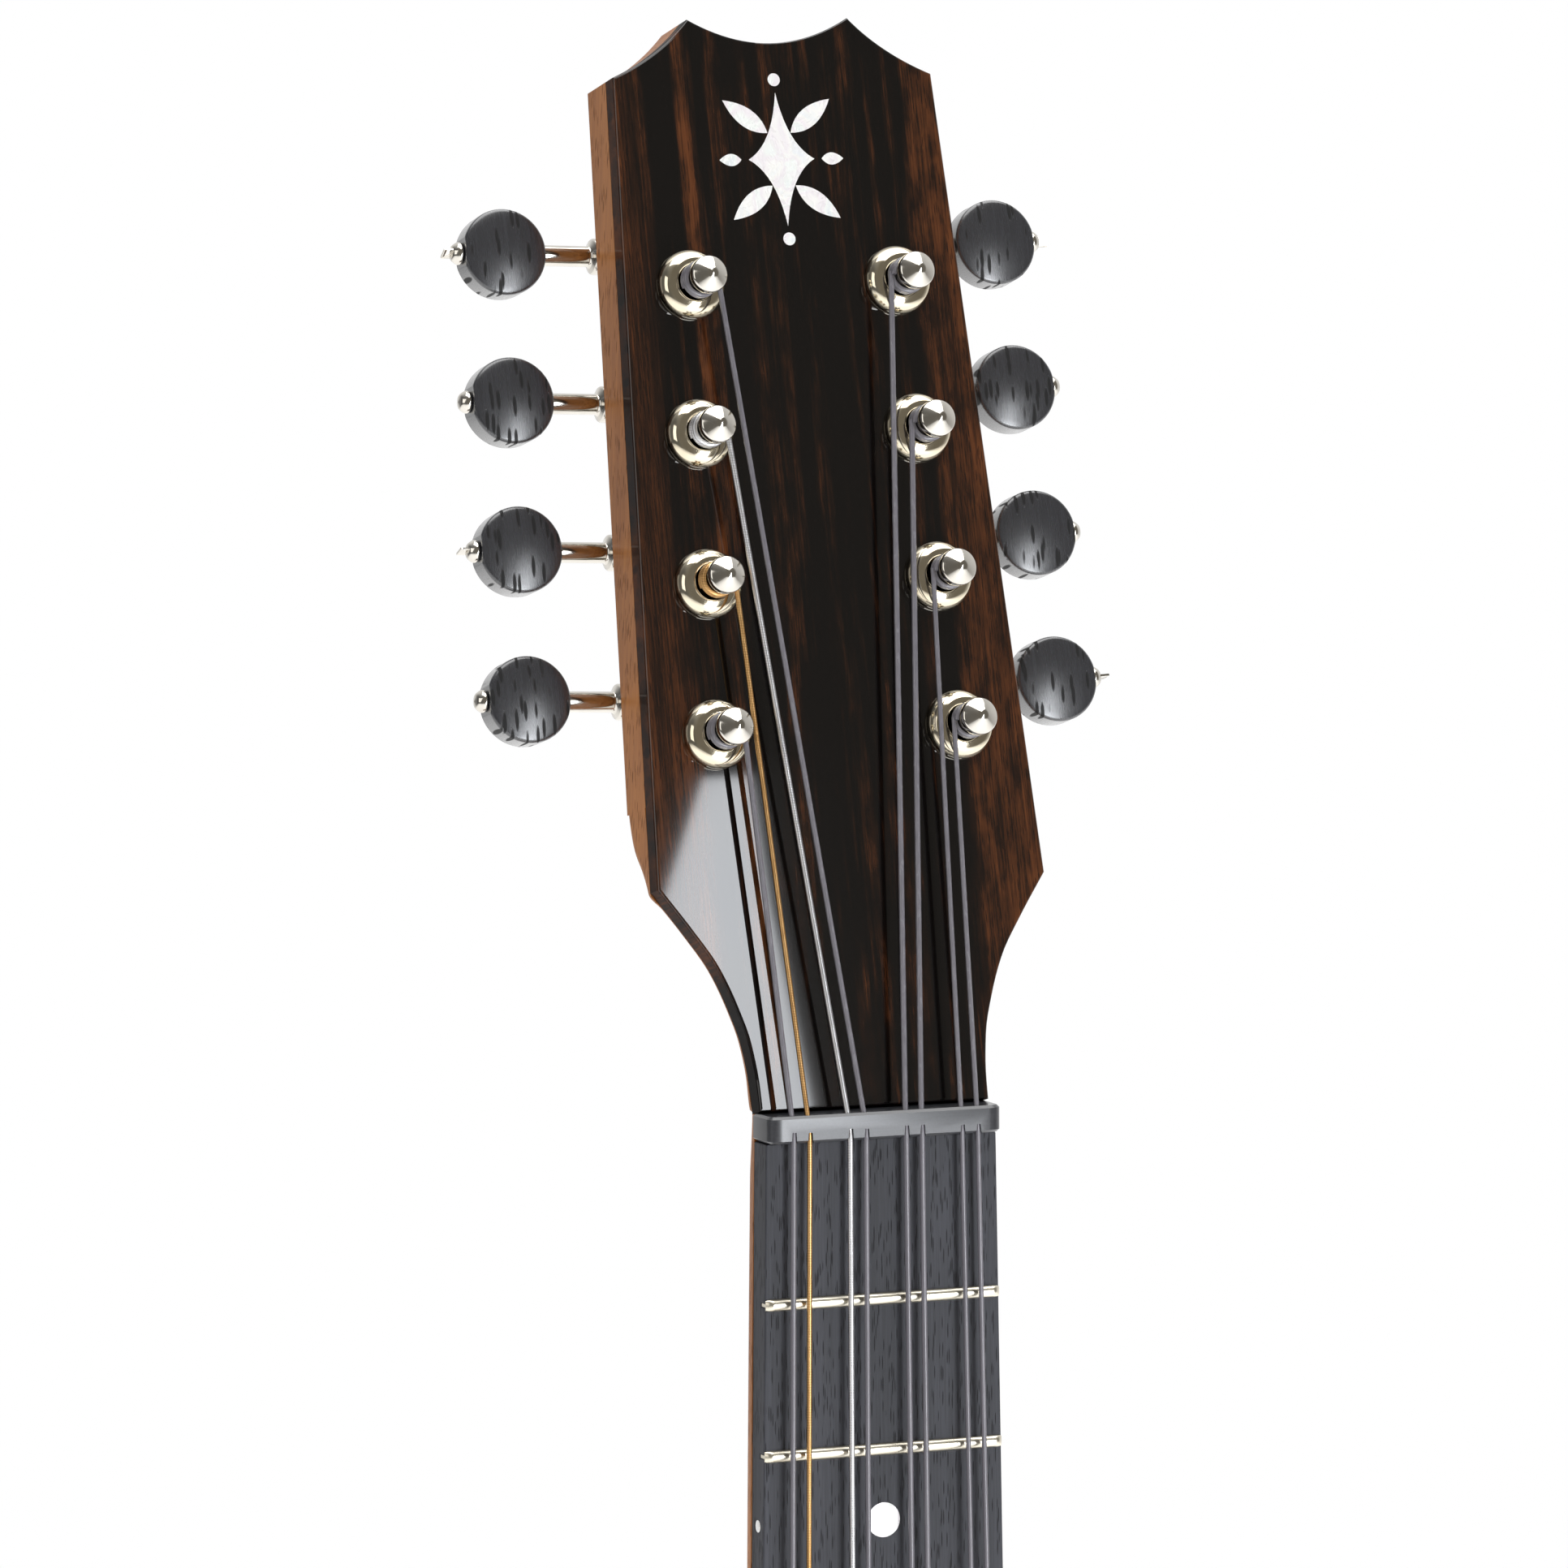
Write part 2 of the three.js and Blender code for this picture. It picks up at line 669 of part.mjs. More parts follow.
[-312, -448].forEach((z, i) => {
  const reach = box(-120, 120, 0, 120, z - 3.5, z + 3.5);
  const brace = common(clearOfLining(backLess(10), backLess(GLUE)), reach);
  piece(`back_brace_${i + 1}`, brace, SPRUCE);
});

// ---------------------------------------------------------------- bridge and saddle

// The bridge's section from its front edge back: [z from the front, y].
const BRIDGE_SECTION = [
  [0, FRONT - GLUE],
  [0, 2.6],
  [-2.4, -2.6],
  [-9.6, -2.6],
  [-11.4, 0.9],
  [-14.5, 0.9],
  [-14.5, -1.7],
  [-22.6, -1.7],
  [-24, -0.4],
  [-24, FRONT - GLUE],
];
const WING_SECTION = [
  [0, FRONT - GLUE],
  [0, 2.6],
  [-3, 1.2],
  [-21, 1.2],
  [-24, 2.6],
  [-24, FRONT - GLUE],
];

function sectionAlongX(section, half) {
  const shape = new THREE.Shape(section.map(([z, y]) => new THREE.Vector2(z, y)));
  const geometry = new THREE.ExtrudeGeometry(shape, { depth: 2 * half, bevelEnabled: false });
  const position = geometry.attributes.position;
  for (let i = 0; i < position.count; i += 1) {
    const [along, y, x] = [position.getX(i), position.getY(i), position.getZ(i)];
    position.setXYZ(i, x - half, y, BRIDGE.front + along);
  }
  return closed(geometry);
}

const SADDLE = { half: 28, thick: 2.6, top: STRING_SADDLE_Y + 0.65, foot: 0.8 };

function bridgeGeometry() {
  const centre = sectionAlongX(BRIDGE_SECTION, BRIDGE.centreHalf);
  const blank = join(centre, sectionAlongX(WING_SECTION, BRIDGE.half));
  const slot = box(
    -SADDLE.half - GLUE, SADDLE.half + GLUE, -20, SADDLE.foot + GLUE,
    SADDLE_Z - SADDLE.thick / 2 - GLUE, SADDLE_Z + SADDLE.thick / 2 + GLUE,
  );
  const ties = STRING_ROUTE.map((route, number) => {
    const x = stringPoints(number)[0].x;
    const hole = new THREE.CylinderGeometry(TIE.r, TIE.r, 14, 8).rotateX(Math.PI / 2);
    return hole.translate(x, TIE.y, BRIDGE.front - BRIDGE.long + 4);
  });
  return cut(blank, slot, ...ties);
}

piece('bridge', bridgeGeometry(), EBONY);

function saddleGeometry() {
  const half = SADDLE.thick / 2;
  const section = [
    [half, SADDLE.foot],
    [half, SADDLE.top + 1.1],
    [half - 0.5, SADDLE.top + 0.2],
    [0.4, SADDLE.top],
    [-half + 0.3, SADDLE.top + 0.6],
    [-half, SADDLE.top + 1.4],
    [-half, SADDLE.foot],
  ];
  const placed = section.map(([z, y]) => [z - BRIDGE.saddle, y]);
  return sectionAlongX(placed, SADDLE.half);
}

piece('saddle', saddleGeometry(), BONE);

// ---------------------------------------------------------------- tuners

// One group per side stands at its lowest post, with z along the row of posts.
function tunerSide(side) {
  const group = new THREE.Group();
  group.position.set(postX(side, 0), 0, postUp(0));
  group.rotation.y = -side * TUNER.splay;
  head.add(group);
  return group;
}

// The plate carries four pairs of ears, bent up to hold the worm shafts.
function plateGeometry(side) {
  const back = HEAD.plate + GLUE + HEAD.core + GLUE;
  const inner = -side * PLATE.inner;
  const outer = side * PLATE.outer;
  const [x0, x1] = [Math.min(inner, outer), Math.max(inner, outer)];
  const [z0, z1] = [-PLATE.below, 3 * TUNER.spacing + PLATE.above];
  const outline = [
    [x0 + 3, z0],
    [x1 - 3, z0],
    [x1, z0 + 3],
    [x1, z1 - 3],
    [x1 - 3, z1],
    [x0 + 3, z1],
    [x0, z1 - 3],
    [x0, z0 + 3],
  ];
  const holes = ROWS.map((row) => circle(0, row * TUNER.spacing, POST.shankR + 2 * GAP, 10));
  const rim = outline.map(([x, z]) => new THREE.Vector2(x, z));
  const sheet = slab(rim, holes, flat(back), flat(back + PLATE.thick));
  const ears = [];
  ROWS.forEach((row) => {
    [-1, 1].forEach((end) => {
      const z = row * TUNER.spacing + TUNER.offset;
      const x = end * (PLATE.earAt + PLATE.earThick / 2);
      const shape = new THREE.Shape();
      shape.moveTo(-PLATE.earHalf, back + PLATE.thick / 2);
      shape.lineTo(PLATE.earHalf, back + PLATE.thick / 2);
      shape.lineTo(PLATE.earHalf, TUNER.axis);
      shape.absarc(0, TUNER.axis, PLATE.earHalf, 0, Math.PI, false);
      shape.closePath();
      shape.holes.push(new THREE.Path(circle(0, TUNER.axis, TUNER.shaftR + GAP, 6)));
      const thickness = { depth: PLATE.earThick, bevelEnabled: false, curveSegments: 4 };
      const ear = new THREE.ExtrudeGeometry(shape, thickness);
      ear.translate(0, 0, -PLATE.earThick / 2).rotateY(Math.PI / 2);
      ears.push(ear.translate(x, 0, z));
    });
  });
  return join(sheet, ...ears);
}

// A worm shaft along X: its worm is centred on x = 0, and the button's screw is at its outer end.
function wormShaftGeometry() {
  const worm = { root: 1.5, tip: 2.65, half: 2.5 };
  const end = TUNER.buttonAt + BUTTON.seat;
  const core = turnedAlongX(
    [
      [0, -6.6],
      [TUNER.shaftR, -6.6],
      [worm.root, -4.4],
      [worm.root, 4.4],
      [TUNER.shaftR, 6.3],
      [COLLAR.r, 6.3],
      [COLLAR.r, COLLAR.to],
      [TUNER.shaftR, COLLAR.to + 0.5],
      [TUNER.shaftR, TUNER.buttonAt + 3],
      [SCREW.shankR, TUNER.buttonAt + 3],
      [SCREW.shankR, end + GLUE],
      [SCREW.headR, end + GLUE],
      [SCREW.headR - 0.15, end + 1],
      [0, end + SCREW.headTall],
    ],
    8,
  );
  // The thread is a trapezoid swept round the core, and faces the gear (-Z) at x = 0.
  const perTurn = 8;
  const steps = Math.round((2 * worm.half * perTurn) / WORM_PITCH);
  const rings = [];
  for (let i = 0; i <= steps; i += 1) {
    const turn = (i - steps / 2) / perTurn;
    const angle = 2 * Math.PI * turn;
    const x = turn * WORM_PITCH;
    const corner = (radius, shift) =>
      new THREE.Vector3(x + shift, radius * Math.sin(angle), -radius * Math.cos(angle));
    rings.push([corner(worm.root - 0.5, -0.6), corner(worm.tip, 0), corner(worm.root - 0.5, 0.6)]);
  }
  return join(core, loft(rings));
}

// A post along Y with its gear at the back. The gear has a gap at +Z, where the worm's thread sits.
function postGeometry() {
  const gear = { root: 4.8, tip: 6.0, half: 1.5 };
  const skew = WORM_PITCH / (2 * Math.PI * WORM_PITCH_R * GEAR_PITCH_R);
  const outline = [];
  for (let tooth = 0; tooth < TUNER.teeth; tooth += 1) {
    const middle = (2 * Math.PI * (tooth + 0.5)) / TUNER.teeth;
    [
      [-0.6, gear.root],
      [0, gear.tip],
      [0.6, gear.root],
    ].forEach(([shift, radius]) => {
      const angle = middle + shift / GEAR_PITCH_R;
      outline.push(new THREE.Vector2(radius * Math.sin(angle), radius * Math.cos(angle)));
    });
  }
  const wheel = slab(outline, [], flat(TUNER.axis - gear.half), flat(TUNER.axis + gear.half));
  const position = wheel.attributes.position;
  for (let i = 0; i < position.count; i += 1) {
    const point = new THREE.Vector3().fromBufferAttribute(position, i);
    point.applyAxisAngle(new THREE.Vector3(0, 1, 0), skew * (point.y - TUNER.axis));
    position.setXYZ(i, point.x, point.y, point.z);
  }
  const back = TUNER.axis + gear.half;
  const shank = turned(
    [
      [0, -back - 1.5],
      [2.5, -back - 1],
      [2.5, -back + 0.5],
      [POST.shankR, 3.3],
      [POST.waistR, 3.8],
      [POST.waistR, 6.6],
      [POST.capR, 7.2],
      [POST.capR, 8.3],
      [0.7, 9.8],
      [0, 9.95],
    ],
    12,
  );
  return join(wheel, shank);
}

// A bushing: a domed flange on the headplate and a sleeve in the head.
function bushingGeometry() {
  return turned(
    [
      [POST.boreR, -BUSHING.sleeveLong],
      [BUSHING.sleeveR, -BUSHING.sleeveLong],
      [BUSHING.sleeveR, GLUE],
      [BUSHING.flangeR, GLUE],
      [BUSHING.flangeR - 0.4, 1.1],
      [BUSHING.flangeR - 1.5, 2],
      [POST.boreR, BUSHING.dome],
      [POST.boreR, -BUSHING.sleeveLong],
    ],
    14,
  );
}

// A round flat button. The shaft comes in through its rim along X.
function buttonGeometry() {
  const edge = BUTTON.r - BUTTON.round;
  const disc = turned(
    [
      [0, -BUTTON.half],
      [edge, -BUTTON.half],
      [BUTTON.r, -BUTTON.half + BUTTON.round],
      [BUTTON.r, BUTTON.half - BUTTON.round],
      [edge, BUTTON.half],
      [0, BUTTON.half],
    ],
    20,
  );
  const bore = turnedAlongX(
    [
      [0, -BUTTON.r - 2],
      [TUNER.shaftR + 0.15, -BUTTON.r - 2],
      [TUNER.shaftR + 0.15, 3.2],
      [1.05, 3.2],
      [1.05, BUTTON.r + 2],
      [0, BUTTON.r + 2],
    ],
    8,
  );
  const seat = box(BUTTON.seat, BUTTON.r + 2, -4, 4, -4, 4);
  return cut(disc, bore, seat);
}

SIDES.forEach(({ word, side }) => {
  const group = tunerSide(side);
  piece(`tuner_plate_${word}`, plateGeometry(side), NICKEL, group);
  ROWS.forEach((row) => {
    const number = row + 1;
    const z = row * TUNER.spacing;
    const post = piece(`post_${word}_${number}`, postGeometry(), NICKEL, group);
    post.position.z = z;
    const bushing = piece(`bushing_${word}_${number}`, bushingGeometry(), NICKEL, group);
    bushing.position.z = z;
    // Half a turn about Z sends the left shafts out to the left.
    const flip = side < 0 ? Math.PI : 0;
    const shaft = piece(`worm_shaft_${word}_${number}`, wormShaftGeometry(), NICKEL, group);
    shaft.position.set(0, TUNER.axis, z + TUNER.offset);
    shaft.rotation.z = flip;
    const button = piece(`button_${word}_${number}`, buttonGeometry(), BUTTON_WOOD, group);
    button.position.set(side * TUNER.buttonAt, TUNER.axis, z + TUNER.offset);
    button.rotation.z = flip;
  });
});

export default instrument;
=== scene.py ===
import math

import bmesh
import bpy
from mathutils import Matrix, Vector, geometry


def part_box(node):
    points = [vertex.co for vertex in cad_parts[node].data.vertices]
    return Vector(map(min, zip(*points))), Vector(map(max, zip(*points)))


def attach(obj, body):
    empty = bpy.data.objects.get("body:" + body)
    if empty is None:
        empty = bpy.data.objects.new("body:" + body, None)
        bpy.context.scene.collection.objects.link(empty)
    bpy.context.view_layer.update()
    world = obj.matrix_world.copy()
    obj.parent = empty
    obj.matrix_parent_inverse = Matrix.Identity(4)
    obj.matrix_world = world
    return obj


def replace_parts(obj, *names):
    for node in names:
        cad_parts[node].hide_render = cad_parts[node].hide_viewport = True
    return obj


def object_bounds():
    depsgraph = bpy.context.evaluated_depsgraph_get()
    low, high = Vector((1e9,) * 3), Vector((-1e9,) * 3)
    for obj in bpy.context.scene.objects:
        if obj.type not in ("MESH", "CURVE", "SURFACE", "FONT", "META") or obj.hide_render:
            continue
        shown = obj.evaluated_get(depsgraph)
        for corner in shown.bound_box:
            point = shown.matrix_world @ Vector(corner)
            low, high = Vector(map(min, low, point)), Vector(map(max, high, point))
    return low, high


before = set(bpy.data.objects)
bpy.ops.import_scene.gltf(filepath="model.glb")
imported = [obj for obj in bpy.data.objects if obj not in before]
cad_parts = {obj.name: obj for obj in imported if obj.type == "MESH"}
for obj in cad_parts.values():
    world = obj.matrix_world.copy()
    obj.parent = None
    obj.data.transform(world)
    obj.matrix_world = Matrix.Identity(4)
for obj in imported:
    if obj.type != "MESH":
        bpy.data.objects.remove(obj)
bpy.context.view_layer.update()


# ---------------------------------------------------------------- neck
# One piece of mahogany makes the shaft, the heel and the core of the tilted head. It is bandsawn,
# shaved round at the back, drilled for eight tuner bushings and grooved for the truss rod, then
# stained a warm brown and sprayed with satin lacquer.

MM = 0.001
BOARD_LOW, BOARD_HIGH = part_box("fingerboard")
NUT = Vector((0, BOARD_LOW.y, BOARD_HIGH.z))  # the fingerboard's upper end, on its playing face
FROM_NUT = Matrix.Translation(NUT) @ Matrix.Scale(MM, 4)

HEAD_TILT = math.radians(13.8)
PLATE_SET_BACK = 1.24  # the headplate's face is this far behind the fingerboard's at the nut
HEAD = Matrix.Translation((0, PLATE_SET_BACK, 0)) @ Matrix.Rotation(-HEAD_TILT, 4, "X")
PLATE_THICK = 3.3
CORE_THICK = 8.2
GLUE = 0.1
BODY_TOP = -239.46  # where the neck meets the body, down from the nut
BOARD_THICK = 4.7
FLARE = [(0, 18.6), (8, 18.7), (15, 19.4), (20.5, 20.9), (26.8, 23.4), (32.5, 27), (39, 31.6)]
HEAD_LOW = (31.6, 39)
HEAD_TOP = (26.2, 163.4)
HEAD_PEAK = (13.2, 172.3)
CROWN_DIP = (0, 164.7)

POST_SPACING = 23
SPLAY = math.radians(2.4)
LOW_POST = (19.87, 62.1)
ROWS = range(4)
SIDES = {"left": -1, "right": 1}
SLEEVE_R = 4
SHANK_R = 2.45
BORE_ROOM = 0.3  # how much wider a hole is than what stands in it


def board_half(z):
    """Half the fingerboard's width at a height from the nut."""
    return 18.75 - 0.0137 * z


def post_at(side, row):
    """A post's centre on the head: across, and up from the nut."""
    run = row * POST_SPACING
    return side * (LOW_POST[0] - run * math.sin(SPLAY)), LOW_POST[1] + run * math.cos(SPLAY)


def flowing(knots, at):
    """A smooth value between knots (place, value) that never swings past them."""
    places, values = zip(*knots)
    at = min(max(at, places[0]), places[-1])
    steps = [b - a for a, b in zip(places, places[1:])]
    slopes = [(b - a) / step for a, b, step in zip(values, values[1:], steps)]
    tangents = [slopes[0]]
    for before, after, near, far in zip(slopes, slopes[1:], steps, steps[1:]):
        if before * after <= 0:
            tangents.append(0)
        else:
            weight = 3 * (near + far)
            tangents.append(weight / ((2 * far + near) / before + (far + 2 * near) / after))
    tangents.append(slopes[-1])
    i = min(sum(place <= at for place in places) - 1, len(steps) - 1)
    t = (at - places[i]) / steps[i]
    ease = t * t * (3 - 2 * t)
    bend = steps[i] * (t * (1 - t) ** 2 * tangents[i] - t * t * (1 - t) * tangents[i + 1])
    return values[i] * (1 - ease) + values[i + 1] * ease + bend


def head_half(up):
    """Half the head's width at a height from the nut."""
    if up < HEAD_LOW[1]:
        return flowing(FLARE, up)
    share = (up - HEAD_LOW[1]) / (HEAD_TOP[1] - HEAD_LOW[1])
    return HEAD_LOW[0] + share * (HEAD_TOP[0] - HEAD_LOW[0])


def arc(start, control, end, steps):
    """Points of a bow from start to end, drawn towards a control point, without the start."""
    start, control, end = Vector(start), Vector(control), Vector(end)
    for step in range(1, steps + 1):
        t = step / steps
        yield start.lerp(control, t).lerp(control.lerp(end, t), t)


def head_outline(low):
    """The head's rim above a height, anticlockwise: two peaks and three scallops at its tip."""
    right = [Vector((head_half(low), low))]
    if low < HEAD_LOW[1]:
        climb = [low + step * (HEAD_LOW[1] - low) / 24 for step in range(1, 24)]
        right += [Vector((head_half(up), up)) for up in climb] + [Vector(HEAD_LOW)]
    right.append(Vector(HEAD_TOP))
    right += arc(HEAD_TOP, (18.2, 166.8), HEAD_PEAK, 14)
    left_peak = (-HEAD_PEAK[0], HEAD_PEAK[1])
    crown = list(arc(HEAD_PEAK, CROWN_DIP, left_peak, 24))[:-1]
    left = [Vector((-point.x, point.y)) for point in reversed(right)]
    return right + crown + left


def circle(x, y, radius, sides=48):
    """A round rim."""
    turns = [2 * math.pi * i / sides for i in range(sides)]
    return [Vector((x + radius * math.cos(turn), y + radius * math.sin(turn))) for turn in turns]


def moved_in(loop, distance):
    """A rim moved into the wood that lies on its left."""
    moved = []
    for i, point in enumerate(loop):
        before = (point - loop[i - 1]).normalized()
        after = (loop[(i + 1) % len(loop)] - point).normalized()
        along = (before + after).normalized()
        corner = max(along.dot(after), 0.35)
        moved.append(point + Vector((-along.y, along.x)) * distance / corner)
    return moved


def winding(loop):
    """Above 0 when a rim runs anticlockwise, and below 0 when it runs clockwise."""
    return sum(a.cross(b) for a, b in zip(loop, loop[1:] + loop[:1]))


def slab(outline, holes, levels):
    """A flat piece between rims in X and Z. The levels are (depth along Y, distance moved in)."""
    loops = [outline if winding(outline) > 0 else outline[::-1]]
    loops += [hole if winding(hole) < 0 else hole[::-1] for hole in holes]
    depth_at = [level[0] if callable(level[0]) else (lambda z, y=level[0]: y) for level in levels]
    points, faces, caps = [], [], []
    for depth, (_, inset) in zip(depth_at, levels):
        rims = [moved_in(loop, inset) if inset else loop for loop in loops]
        start = len(points)
        points += [Vector((p.x, depth(p.y), p.y)) for rim in rims for p in rim]
        caps.append((start, rims))
    for (first, rims), (second, _) in zip(caps, caps[1:]):
        for rim in rims:
            count = len(rim)
            for i in range(count):
                j = (i + 1) % count
                faces.append((first + i, first + j, second + j, second + i))
            first, second = first + count, second + count
    for start, rims in (caps[0], caps[-1]):
        flat = [[p.to_3d() for p in rim] for rim in rims]
        faces += [tuple(start + i for i in face) for face in geometry.tessellate_polygon(flat)]
    return points, faces


def lofted(rings):
    """A closed skin over rings with the same number of points each."""
    count = len(rings[0])
    points = [point for ring in rings for point in ring]
    faces = []
    for first in range(0, len(points) - count, count):
        for i in range(count):
            j = (i + 1) % count
            faces.append((first + i, first + j, first + count + j, first + count + i))
    last = len(points) - count
    return points, [*faces, tuple(range(count)), tuple(range(last, last + count))]


def turned(profile, sides, along=Vector((0, -1, 0))):
    """A turned piece. Its profile's points are (radius, place along its axis)."""
    across = Vector((0, 0, 1)) if abs(along.z) < 0.5 else Vector((1, 0, 0))
    third = along.cross(across)
    rings = []
    for radius, place in profile:
        turns = [2 * math.pi * i / sides for i in range(sides)]
        rings.append([
            along * place + (across * math.cos(turn) + third * math.sin(turn)) * radius
            for turn in turns
        ])
    points, faces = lofted(rings)
    return points, faces[:-2]


def block(low, high):
    """A square-edged block between two corners."""
    (x0, y0, z0), (x1, y1, z1) = low, high
    rim = [Vector((x0, z0)), Vector((x1, z0)), Vector((x1, z1)), Vector((x0, z1))]
    return slab(rim, [], [(y0, 0), (y1, 0)])


def solid(shape, place=Matrix.Identity(4)):
    """A closed mesh in the frame, from points and faces in millimetres."""
    points, faces = shape
    mesh = bpy.data.meshes.new("solid")
    mesh.from_pydata([FROM_NUT @ place @ Vector(point) for point in points], [], faces)
    work = bmesh.new()
    work.from_mesh(mesh)
    bmesh.ops.remove_doubles(work, verts=work.verts, dist=2e-7)
    bmesh.ops.dissolve_degenerate(work, edges=work.edges, dist=1e-7)
    bmesh.ops.recalc_face_normals(work, faces=work.faces)
    work.to_mesh(mesh)
    work.free()
    return mesh


def worked(mesh, *steps):
    """A mesh with others joined to it or cut from it, in turn: (operation, mesh)."""
    held = [bpy.data.objects.new("work", each) for each in (mesh, *(other for _, other in steps))]
    for each in held:
        bpy.context.scene.collection.objects.link(each)
    for (operation, _), tool in zip(steps, held[1:]):
        change = held[0].modifiers.new("work", "BOOLEAN")
        change.operation = operation
        change.solver = "EXACT"
        change.object = tool
    bpy.context.view_layer.update()
    whole = held[0].evaluated_get(bpy.context.evaluated_depsgraph_get())
    result = bpy.data.meshes.new_from_object(whole)
    for each in held:
        bpy.data.objects.remove(each)
    return result


def merged(meshes):
    """Several separate closed meshes as one."""
    work = bmesh.new()
    for mesh in meshes:
        work.from_mesh(mesh)
    result = bpy.data.meshes.new("merged")
    work.to_mesh(result)
    work.free()
    return result


def piece(name, mesh, finish, body="instrument", crease=32):
    """A finished piece that rides on a body, smooth except at its creases."""
    mesh = mesh.copy()
    mesh.name = name
    mesh.materials.clear()
    mesh.materials.append(finish)
    mesh.shade_smooth()
    mesh.set_sharp_from_angle(angle=math.radians(crease))
    made = bpy.data.objects.new(name, mesh)
    bpy.context.scene.collection.objects.link(made)
    level = made.modifiers.new("level faces", "WEIGHTED_NORMAL")
    level.keep_sharp = True
    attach(made, body)
    return made


class Wire:
    """A socket of a finish. Arithmetic on it adds Math nodes."""

    def __init__(self, socket):
        self.socket = socket
        self.tree = socket.id_data

    def node(self, kind, settings, sockets, output=0):
        """Any other node: its settings come first, then its sockets' values or links."""
        made = self.tree.nodes.new("ShaderNode" + kind)
        for name, value in settings.items():
            if name == "stops":
                ramp = made.color_ramp.elements
                while len(ramp) < len(value):
                    ramp.new(1)
                for element, (position, shade) in zip(ramp, value):
                    element.position, element.color = position, shade
            else:
                setattr(made, name, value)
        for name, value in sockets.items():
            if isinstance(value, Wire):
                self.tree.links.new(value.socket, made.inputs[name])
            else:
                made.inputs[name].default_value = value
        return Wire(made.outputs[output])

    def maths(self, operation, *values):
        return self.node("Math", {"operation": operation}, dict(enumerate(values)))

    def __add__(self, other):
        return self.maths("ADD", self, other)

    def __radd__(self, other):
        return self.maths("ADD", other, self)

    def __sub__(self, other):
        return self.maths("SUBTRACT", self, other)

    def __rsub__(self, other):
        return self.maths("SUBTRACT", other, self)

    def __mul__(self, other):
        return self.maths("MULTIPLY", self, other)

    def __rmul__(self, other):
        return self.maths("MULTIPLY", other, self)

    def __abs__(self):
        return self.maths("ABSOLUTE", self)

    def eased(self, low, high):
        """0 below low, 1 above high and smooth between them."""
        places = {"Value": self, "From Min": low, "From Max": high}
        return self.node("MapRange", {"interpolation_type": "SMOOTHSTEP"}, places)

    def blend(self, first, second):
        """A colour between two others, with this as the share of the second."""
        return self.node("Mix", {"data_type": "RGBA"}, {0: self, 6: first, 7: second}, 2)

    def axis(self, number):
        """One of a place's three measures."""
        return self.node("SeparateXYZ", {}, {0: self}, number)

    def stretched(self, across, deep, along):
        """A place scaled so that one unit is a grain of this size, in millimetres."""
        scale = (1 / (across * MM), 1 / (deep * MM), 1 / (along * MM))
        return self.node("VectorMath", {"operation": "MULTIPLY"}, {0: self, 1: scale})

    def clouds(self, across, deep, along, detail=2.0, roughness=0.5, distortion=0.0):
        """Soft noise from 0 to 1, its patches of about this size."""
        look = {"Scale": 1.0, "Detail": detail, "Roughness": roughness, "Distortion": distortion}
        return self.node("TexNoise", {}, {"Vector": self.stretched(across, deep, along), **look})

    def pores(self, across, deep, along, share):
        """Scattered open pores, 1 in a pore: short dashes of this cell size along the grain."""
        cells = {"Vector": self.stretched(across, deep, along), "Scale": 1.0, "Randomness": 1.0}
        near = self.node("TexVoronoi", {}, cells)
        dice = self.node("TexVoronoi", {}, cells, 1)
        chance = dice.node("SeparateColor", {}, {"Color": dice})
        return (1 - near.eased(0.28, 0.4)) * chance.eased(1 - share, 1.02 - share)

    def relief(self, depth, strength=1.0):
        """This height as a bump, its depth in millimetres."""
        return self.node("Bump", {}, {"Height": self, "Distance": depth * MM, "Strength": strength})


def colour(red, green, blue):
    """A paint-card colour, 0 to 255, as linear light."""
    return tuple((part / 255) ** 2.2 for part in (red, green, blue)) + (1.0,)


def finish(name, **constants):
    """A new material and the place on the piece. Its constants go straight to the shader."""
    material = bpy.data.materials.new(name)
    material.use_nodes = True
    shader = material.node_tree.nodes["Principled BSDF"]
    for socket, value in constants.items():
        shader.inputs[socket.replace("_", " ")].default_value = value
    return material, Wire(material.node_tree.nodes.new("ShaderNodeTexCoord").outputs["Object"])


def feed(material, **wires):
    """Links what changes over the surface to the shader."""
    tree = material.node_tree
    for socket, wire in wires.items():
        tree.links.new(wire.socket, tree.nodes["Principled BSDF"].inputs[socket.replace("_", " ")])


def mahogany_finish(name, pale, deep):
    """Stained mahogany: broad soft figure, fine streaks and short dark pores."""
    material, place = finish(name, Coat_Weight=0.06, Coat_Roughness=0.25, Specular_IOR_Level=0.1)
    figure = place.clouds(9, 9, 70, detail=3, distortion=0.6)
    streak = place.clouds(0.55, 0.55, 26, detail=4, roughness=0.65)
    pore = place.pores(0.32, 0.32, 3.2, 0.45)
    tone = (figure * 0.55 + streak * 0.65).eased(0.35, 0.85)
    feed(
        material,
        Base_Color=(pore * 0.65).blend(tone.blend(deep, pale), colour(62, 34, 20)),
        Roughness=0.36 + streak * 0.14 + pore * 0.2,
        Normal=(streak * 0.25 - pore).relief(0.05, 0.5),
    )
    return material


mahogany = mahogany_finish("mahogany", colour(172, 113, 63), colour(132, 81, 41))


def neck_section(half, y, z, depth, power, lean, steps=40):
    """One ring of the neck: flat on top and rounded, or nearly square, underneath."""
    ring = []
    for i in range(steps + 1):
        c, s = math.cos(math.pi * i / steps), math.sin(math.pi * i / steps)
        x = half * math.copysign(abs(c) ** (2 / power), c)
        down = depth * abs(s) ** (2 / power)
        ring.append(Vector((x, y + down * math.cos(lean), z - down * math.sin(lean))))
    ring[0].x, ring[-1].x = half, -half
    return ring


